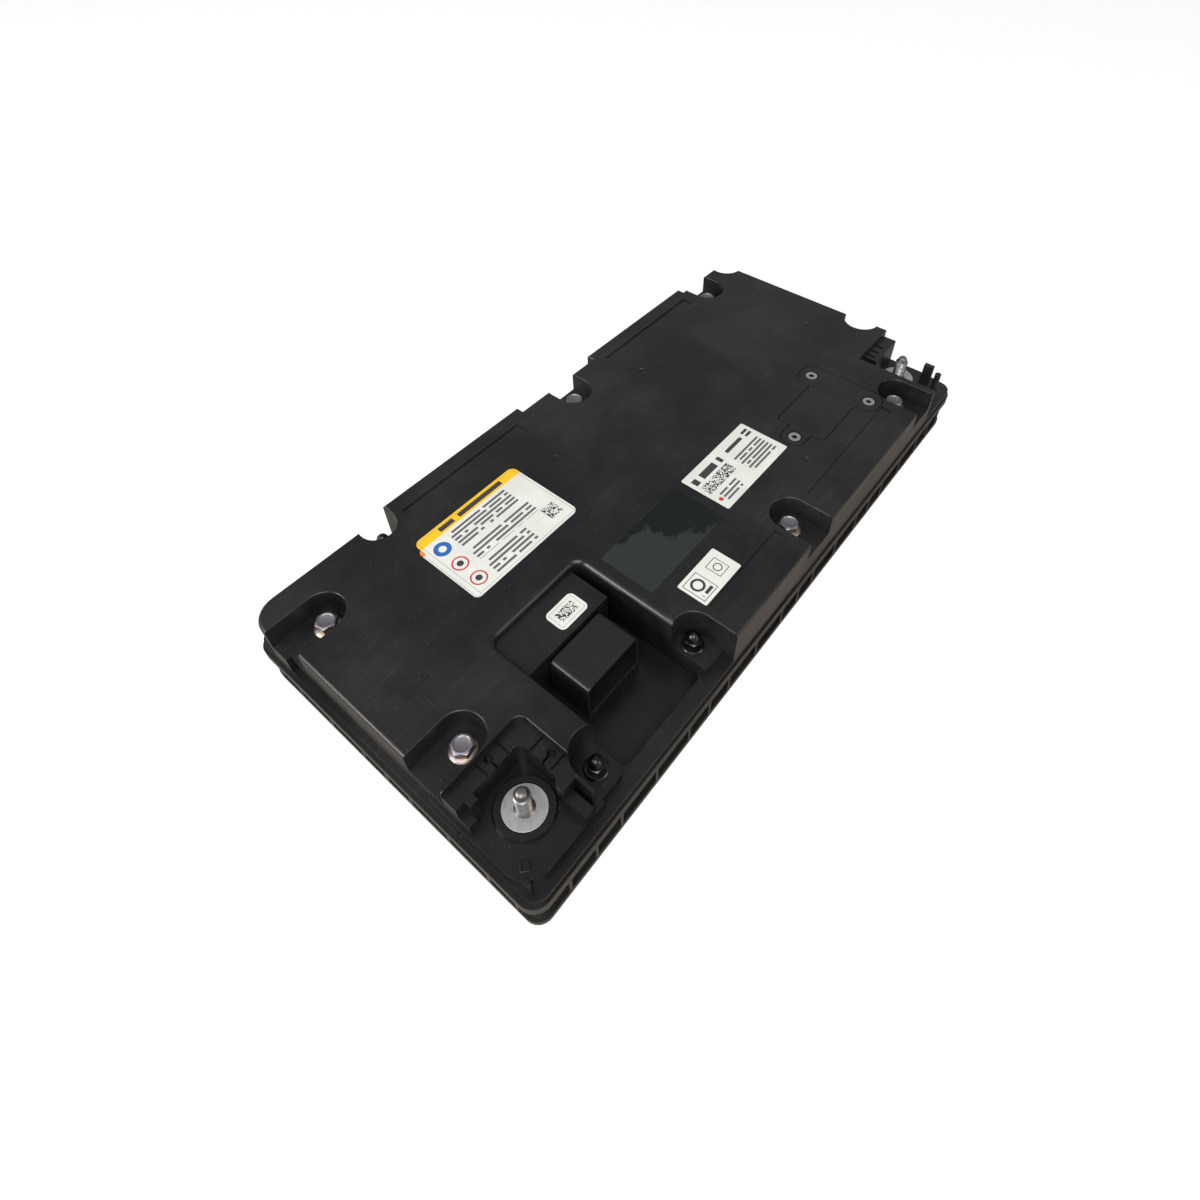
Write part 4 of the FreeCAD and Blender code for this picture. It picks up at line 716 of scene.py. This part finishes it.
def make_cover():
    """The moulded cover with shallow pin marks, each with a small raised middle."""
    cover = merged_copy("upper_cover")
    pit = turned("pin_mark", raised(DECK, MARK_PIT), 28)
    cut_to(cover, set_out(pit, MARK_PLACES, "pin_marks"), "DIFFERENCE")
    stand_for(round_edges(round_rims(cover), 0.3 * MM), "upper_cover")
    middle = turned("pin_mark_middle", raised(DECK, MARK_MIDDLE), 20)
    middles = set_out(smooth(middle, 40.0), MARK_PLACES, "pin_mark_middles")
    middles.data.materials.append(FINISHES["cover_plastic"])
    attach(middles, "root")


make_cover()


# Printed labels: plain fields, rings, grey bars and a plain check block. A sheet is a shader tree
# with the distances across and along a label, in millimetres from its low corner.

PAPER = (0.66, 0.66, 0.62)
AGED_PAPER = (0.60, 0.60, 0.565)
INK = (0.035, 0.035, 0.04)
GREY_INK = (0.10, 0.10, 0.11)
YELLOW = (0.80, 0.46, 0.012)
ORANGE = (0.75, 0.20, 0.03)
BLUE = (0.018, 0.11, 0.36)
RED = (0.48, 0.03, 0.03)
LABEL_DUST = (0.3, 0.29, 0.27)
SHEET_RELIEF = 0.4 * MM
GAP_CHANCE = 0.12
CHECK_CHANCE = 0.5


def sheet_of(tree, place, corner):
    """A sheet that starts at a corner."""
    node = tree.nodes.new("ShaderNodeMapping")
    node.inputs["Location"].default_value = (-corner[0] / MM, -corner[1] / MM, 0.0)
    node.inputs["Scale"].default_value = (1 / MM, 1 / MM, 1 / MM)
    tree.links.new(place, node.inputs["Vector"])
    split = tree.nodes.new("ShaderNodeSeparateXYZ")
    tree.links.new(node.outputs["Vector"], split.inputs[0])
    return tree, split.outputs[0], split.outputs[1]


def both(tree, *masks):
    """The overlap of several masks."""
    result = masks[0]
    for mask in masks[1:]:
        result = number(tree, "MULTIPLY", result, mask)
    return result


def chance(tree, column, row):
    """A fixed random value for each cell of a grid."""
    cell = tree.nodes.new("ShaderNodeCombineXYZ")
    tree.links.new(number(tree, "FLOOR", column), cell.inputs[0])
    tree.links.new(number(tree, "FLOOR", row), cell.inputs[1])
    draw = tree.nodes.new("ShaderNodeTexWhiteNoise")
    draw.noise_dimensions = "2D"
    tree.links.new(cell.outputs[0], draw.inputs["Vector"])
    return draw.outputs["Value"]


def field(sheet, left, low, right, high):
    """A mask of a plain rectangle."""
    tree, across, along = sheet
    return both(tree, number(tree, "GREATER_THAN", across, left),
                number(tree, "LESS_THAN", across, right),
                number(tree, "GREATER_THAN", along, low),
                number(tree, "LESS_THAN", along, high))


def band_above(sheet, low):
    """A mask of all that lies beyond a distance along the label."""
    tree, _, along = sheet
    return number(tree, "GREATER_THAN", along, low)


def outline(sheet, left, low, right, high, line):
    """A mask of a thin frame inside a rectangle."""
    tree = sheet[0]
    inner = field(sheet, left + line, low + line, right - line, high - line)
    return both(tree, field(sheet, left, low, right, high), number(tree, "SUBTRACT", 1.0, inner))


def disc(sheet, centre, radius, hole=0.0):
    """A mask of a disc, or of a ring with a hole."""
    tree, across, along = sheet
    wide = number(tree, "SUBTRACT", across, centre[0])
    deep = number(tree, "SUBTRACT", along, centre[1])
    squares = number(tree, "ADD", number(tree, "MULTIPLY", wide, wide),
                     number(tree, "MULTIPLY", deep, deep))
    reach = number(tree, "SQRT", squares)
    inside = number(tree, "LESS_THAN", reach, radius)
    return both(tree, inside, number(tree, "GREATER_THAN", reach, hole)) if hole else inside


def bars(sheet, left, low, right, high, pitch, share, length):
    """A mask of rows of bars broken into uneven lengths."""
    tree, across, along = sheet
    row = number(tree, "DIVIDE", number(tree, "SUBTRACT", high, along), pitch)
    line = number(tree, "LESS_THAN", number(tree, "FRACT", row), share)
    draw = chance(tree, number(tree, "DIVIDE", across, length), row)
    ink = number(tree, "GREATER_THAN", draw, GAP_CHANCE)
    return both(tree, line, ink, field(sheet, left, low, right, high))


def checks(sheet, left, low, right, high, square):
    """A mask of a plain block of random squares."""
    tree, across, along = sheet
    draw = chance(tree, number(tree, "DIVIDE", across, square), number(tree, "DIVIDE", along, square))
    return both(tree, number(tree, "GREATER_THAN", draw, CHECK_CHANCE),
                field(sheet, left, low, right, high))


def main_layers(sheet, width, depth):
    """Large label: a yellow band, three round marks, blocks of grey bars and a check block."""
    yield band_above(sheet, depth - 6.6), YELLOW
    yield bars(sheet, 15.0, depth - 5.2, width - 9.0, depth - 2.0, 3.3, 0.95, 3.6), INK
    yield disc(sheet, (7.8, depth - 14.5), 4.9), BLUE
    yield disc(sheet, (7.8, depth - 14.5), 2.2), PAPER
    for centre in ((7.4, depth - 28.8), (7.4, depth - 43.0)):
        yield disc(sheet, centre, 4.7, 3.8), RED
        yield disc(sheet, centre, 1.9), INK
    yield bars(sheet, 16.0, depth - 22.2, 58.0, depth - 9.0, 2.75, 0.55, 2.3), GREY_INK
    yield bars(sheet, 16.0, depth - 35.0, 60.0, depth - 26.0, 2.9, 0.52, 2.3), GREY_INK
    yield bars(sheet, 16.0, depth - 49.0, 46.0, depth - 38.2, 2.9, 0.52, 2.3), GREY_INK
    yield checks(sheet, width - 14.0, depth - 45.5, width - 5.0, depth - 36.5, 0.56), INK
    yield outline(sheet, 1.4, 1.4, width - 1.4, depth - 1.4, 0.18), GREY_INK


def data_layers(sheet, width, depth):
    """Data label: rows of grey bars, a check block and a small red dot."""
    yield bars(sheet, 2.8, 23.0, 30.0, 28.0, 5.0, 0.95, 3.4), INK
    yield bars(sheet, 34.0, 24.5, 52.0, 27.2, 2.8, 0.9, 2.0), INK
    yield bars(sheet, 55.0, 23.0, 60.5, 28.6, 3.1, 0.6, 1.8), INK
    yield checks(sheet, 2.6, 13.6, 29.0, 21.2, 0.6), INK
    yield bars(sheet, 34.0, 4.0, 59.0, 19.5, 2.6, 0.55, 1.9), GREY_INK
    yield bars(sheet, 6.0, 3.0, 22.0, 10.4, 2.7, 0.5, 1.9), GREY_INK
    yield disc(sheet, (3.6, 7.4), 1.45), RED


def small_layers(sheet, width, depth):
    """Small label: two framed plain shapes."""
    yield outline(sheet, 1.6, 2.0, 13.4, depth - 2.0, 0.4), INK
    yield disc(sheet, (7.5, depth / 2 + 1.4), 4.0, 2.6), INK
    yield bars(sheet, 3.6, 3.2, 11.6, 5.4, 2.4, 0.8, 2.0), INK
    yield outline(sheet, 19.0, 4.4, 27.4, depth - 4.0, 0.4), INK
    yield disc(sheet, (23.2, depth / 2), 2.6, 2.0), INK


def patch_layers(sheet, width, depth):
    """Patch label: a check block in a thin frame."""
    yield checks(sheet, 4.0, 3.6, width - 4.0, depth - 3.6, 0.56), INK
    yield outline(sheet, 1.6, 1.6, width - 1.6, depth - 1.6, 0.16), GREY_INK


def under_layers(sheet, width, depth):
    """Edge of the label beneath: white with an orange end."""
    yield band_above(sheet, depth - 4.5), ORANGE
    yield outline(sheet, 0.7, 0.7, width + 5.0, depth + 5.0, 0.18), GREY_INK


def print_label(node_name, title, layers):
    """A printed label: paper with layers of ink, each a mask and a colour."""
    finish, tree, shader, place = new_finish(title)
    low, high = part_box(node_name)
    sheet = sheet_of(tree, place, low)
    colour = mixed(tree, step(tree, noise(tree, place, 60.0), 0.3, 0.7), PAPER, AGED_PAPER)
    for mask, ink in layers(sheet, (high.x - low.x) / MM, (high.y - low.y) / MM):
        colour = mixed(tree, mask, colour, ink)
    tree.links.new(dusted(tree, place, colour, 0.5, LABEL_DUST), shader.inputs["Base Color"])
    roughness = range_of(tree, noise(tree, place, 200.0), 0.32, 0.42)
    tree.links.new(roughness, shader.inputs["Roughness"])
    bump(tree, shader, noise(tree, place, 150.0, detail=2.0), 0.06, SHEET_RELIEF)
    dress(cad[node_name], finish)


print_label("main_label", "large_printed_label", main_layers)
print_label("under_label", "older_printed_label", under_layers)
print_label("data_label", "data_printed_label", data_layers)
print_label("small_label", "small_printed_label", small_layers)
print_label("patch_label", "patch_printed_label", patch_layers)


# Clear film between the labels

FLAT_FILM = (0.006, 0.010, 0.009)
LIFTED_FILM = (0.022, 0.028, 0.025)
LIFT_ACROSS = -0.8
LIFT_ALONG = -0.55
LIFT_CLOUD = 0.9
LIFT_EDGE = (-0.32, -0.22)


def film_finish():
    """Clear film that lies flat and dark, with a cloudier lifted patch along its low side."""
    finish, tree, shader, place = new_finish("clear_film")
    low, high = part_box("clear_film")
    _, across, along = sheet_of(tree, place, low)
    wide, deep = (high.x - low.x) / MM, (high.y - low.y) / MM
    cloud = noise(tree, scaled(tree, place, (60.0, 90.0, 1.0)), 1.0,
                  detail=5.0, roughness=0.6, distortion=0.8)
    slope = number(tree, "ADD", number(tree, "MULTIPLY", across, LIFT_ACROSS / wide),
                   number(tree, "MULTIPLY", along, LIFT_ALONG / deep))
    edge = number(tree, "ADD", slope, number(tree, "MULTIPLY", cloud, LIFT_CLOUD))
    lifted = step(tree, edge, *LIFT_EDGE)
    tree.links.new(mixed(tree, lifted, FLAT_FILM, LIFTED_FILM), shader.inputs["Base Color"])
    tree.links.new(range_of(tree, lifted, 0.16, 0.30), shader.inputs["Roughness"])
    tree.links.new(range_of(tree, lifted, 0.6, 0.8), shader.inputs["Alpha"])
    bump(tree, shader, cloud, 0.1, SHEET_RELIEF)
    return finish


dress(cad["clear_film"], film_finish())


# Studio: pale floor, pale surroundings and soft lights

FLOOR_SIZE = 12.0
FLOOR_TONE = (0.36, 0.32, 0.28, 1.0)
FLOOR_ROUGHNESS = 0.9
UNLIT = (0.0, 0.0, 0.0)
FLOOR_GLOW = (0.70, 0.735, 0.77)
ROOM_TONE = (0.97, 0.985, 1.0, 1.0)
ROOM_STRENGTH = 0.42

# Name, place, point looked at, size, power and colour of each light
LIGHTS = (
    ("front_light", (-0.95, -0.75, 1.45), (-0.05, 0.0, 0.0), 1.2, 30.0, (1.0, 1.0, 1.0)),
    ("edge_light", (-1.4, 0.58, 0.55), (-0.1, 0.0, 0.03), 0.55, 14.0, (1.0, 0.96, 0.90)),
    ("left_light", (-1.3, 1.0, 1.0), (0.0, 0.0, 0.0), 0.9, 9.0, (0.95, 0.98, 1.0)),
    ("warm_low_light", (0.3, -1.4, 0.35), (0.0, 0.0, 0.02), 0.7, 5.0, (1.0, 0.84, 0.66)),
)


def make_floor():
    """A wide pale floor under the pack, whose own glow only the camera sees."""
    bpy.ops.mesh.primitive_plane_add(size=FLOOR_SIZE, location=(0.0, 0.0, 0.0))
    floor = bpy.context.active_object
    floor.name = "pale_floor"
    finish, tree, shader, _ = new_finish("pale_floor")
    shader.inputs["Base Color"].default_value = FLOOR_TONE
    shader.inputs["Roughness"].default_value = FLOOR_ROUGHNESS
    seen = tree.nodes.new("ShaderNodeLightPath").outputs["Is Camera Ray"]
    tree.links.new(mixed(tree, seen, UNLIT, FLOOR_GLOW), shader.inputs["Emission Color"])
    shader.inputs["Emission Strength"].default_value = 1.0
    dress(floor, finish)


def soft_light(name, place, aim, size, power, colour):
    """A square area light that looks at a point."""
    bpy.ops.object.light_add(type="AREA", location=place)
    light = bpy.context.active_object
    light.name = name
    light.data.size = size
    light.data.energy = power
    light.data.color = colour
    light.rotation_euler = (Vector(aim) - Vector(place)).to_track_quat("-Z", "Y").to_euler()


def make_studio():
    """Even pale surroundings, a broad light from behind the camera and weaker ones round the pack."""
    scene = bpy.context.scene
    scene.view_settings.view_transform = "Standard"
    world = bpy.data.worlds.new("pale_room")
    scene.world = world
    world.use_nodes = True
    background = world.node_tree.nodes["Background"]
    background.inputs["Color"].default_value = ROOM_TONE
    background.inputs["Strength"].default_value = ROOM_STRENGTH
    for light in LIGHTS:
        soft_light(*light)


make_camera()
make_floor()
make_studio()
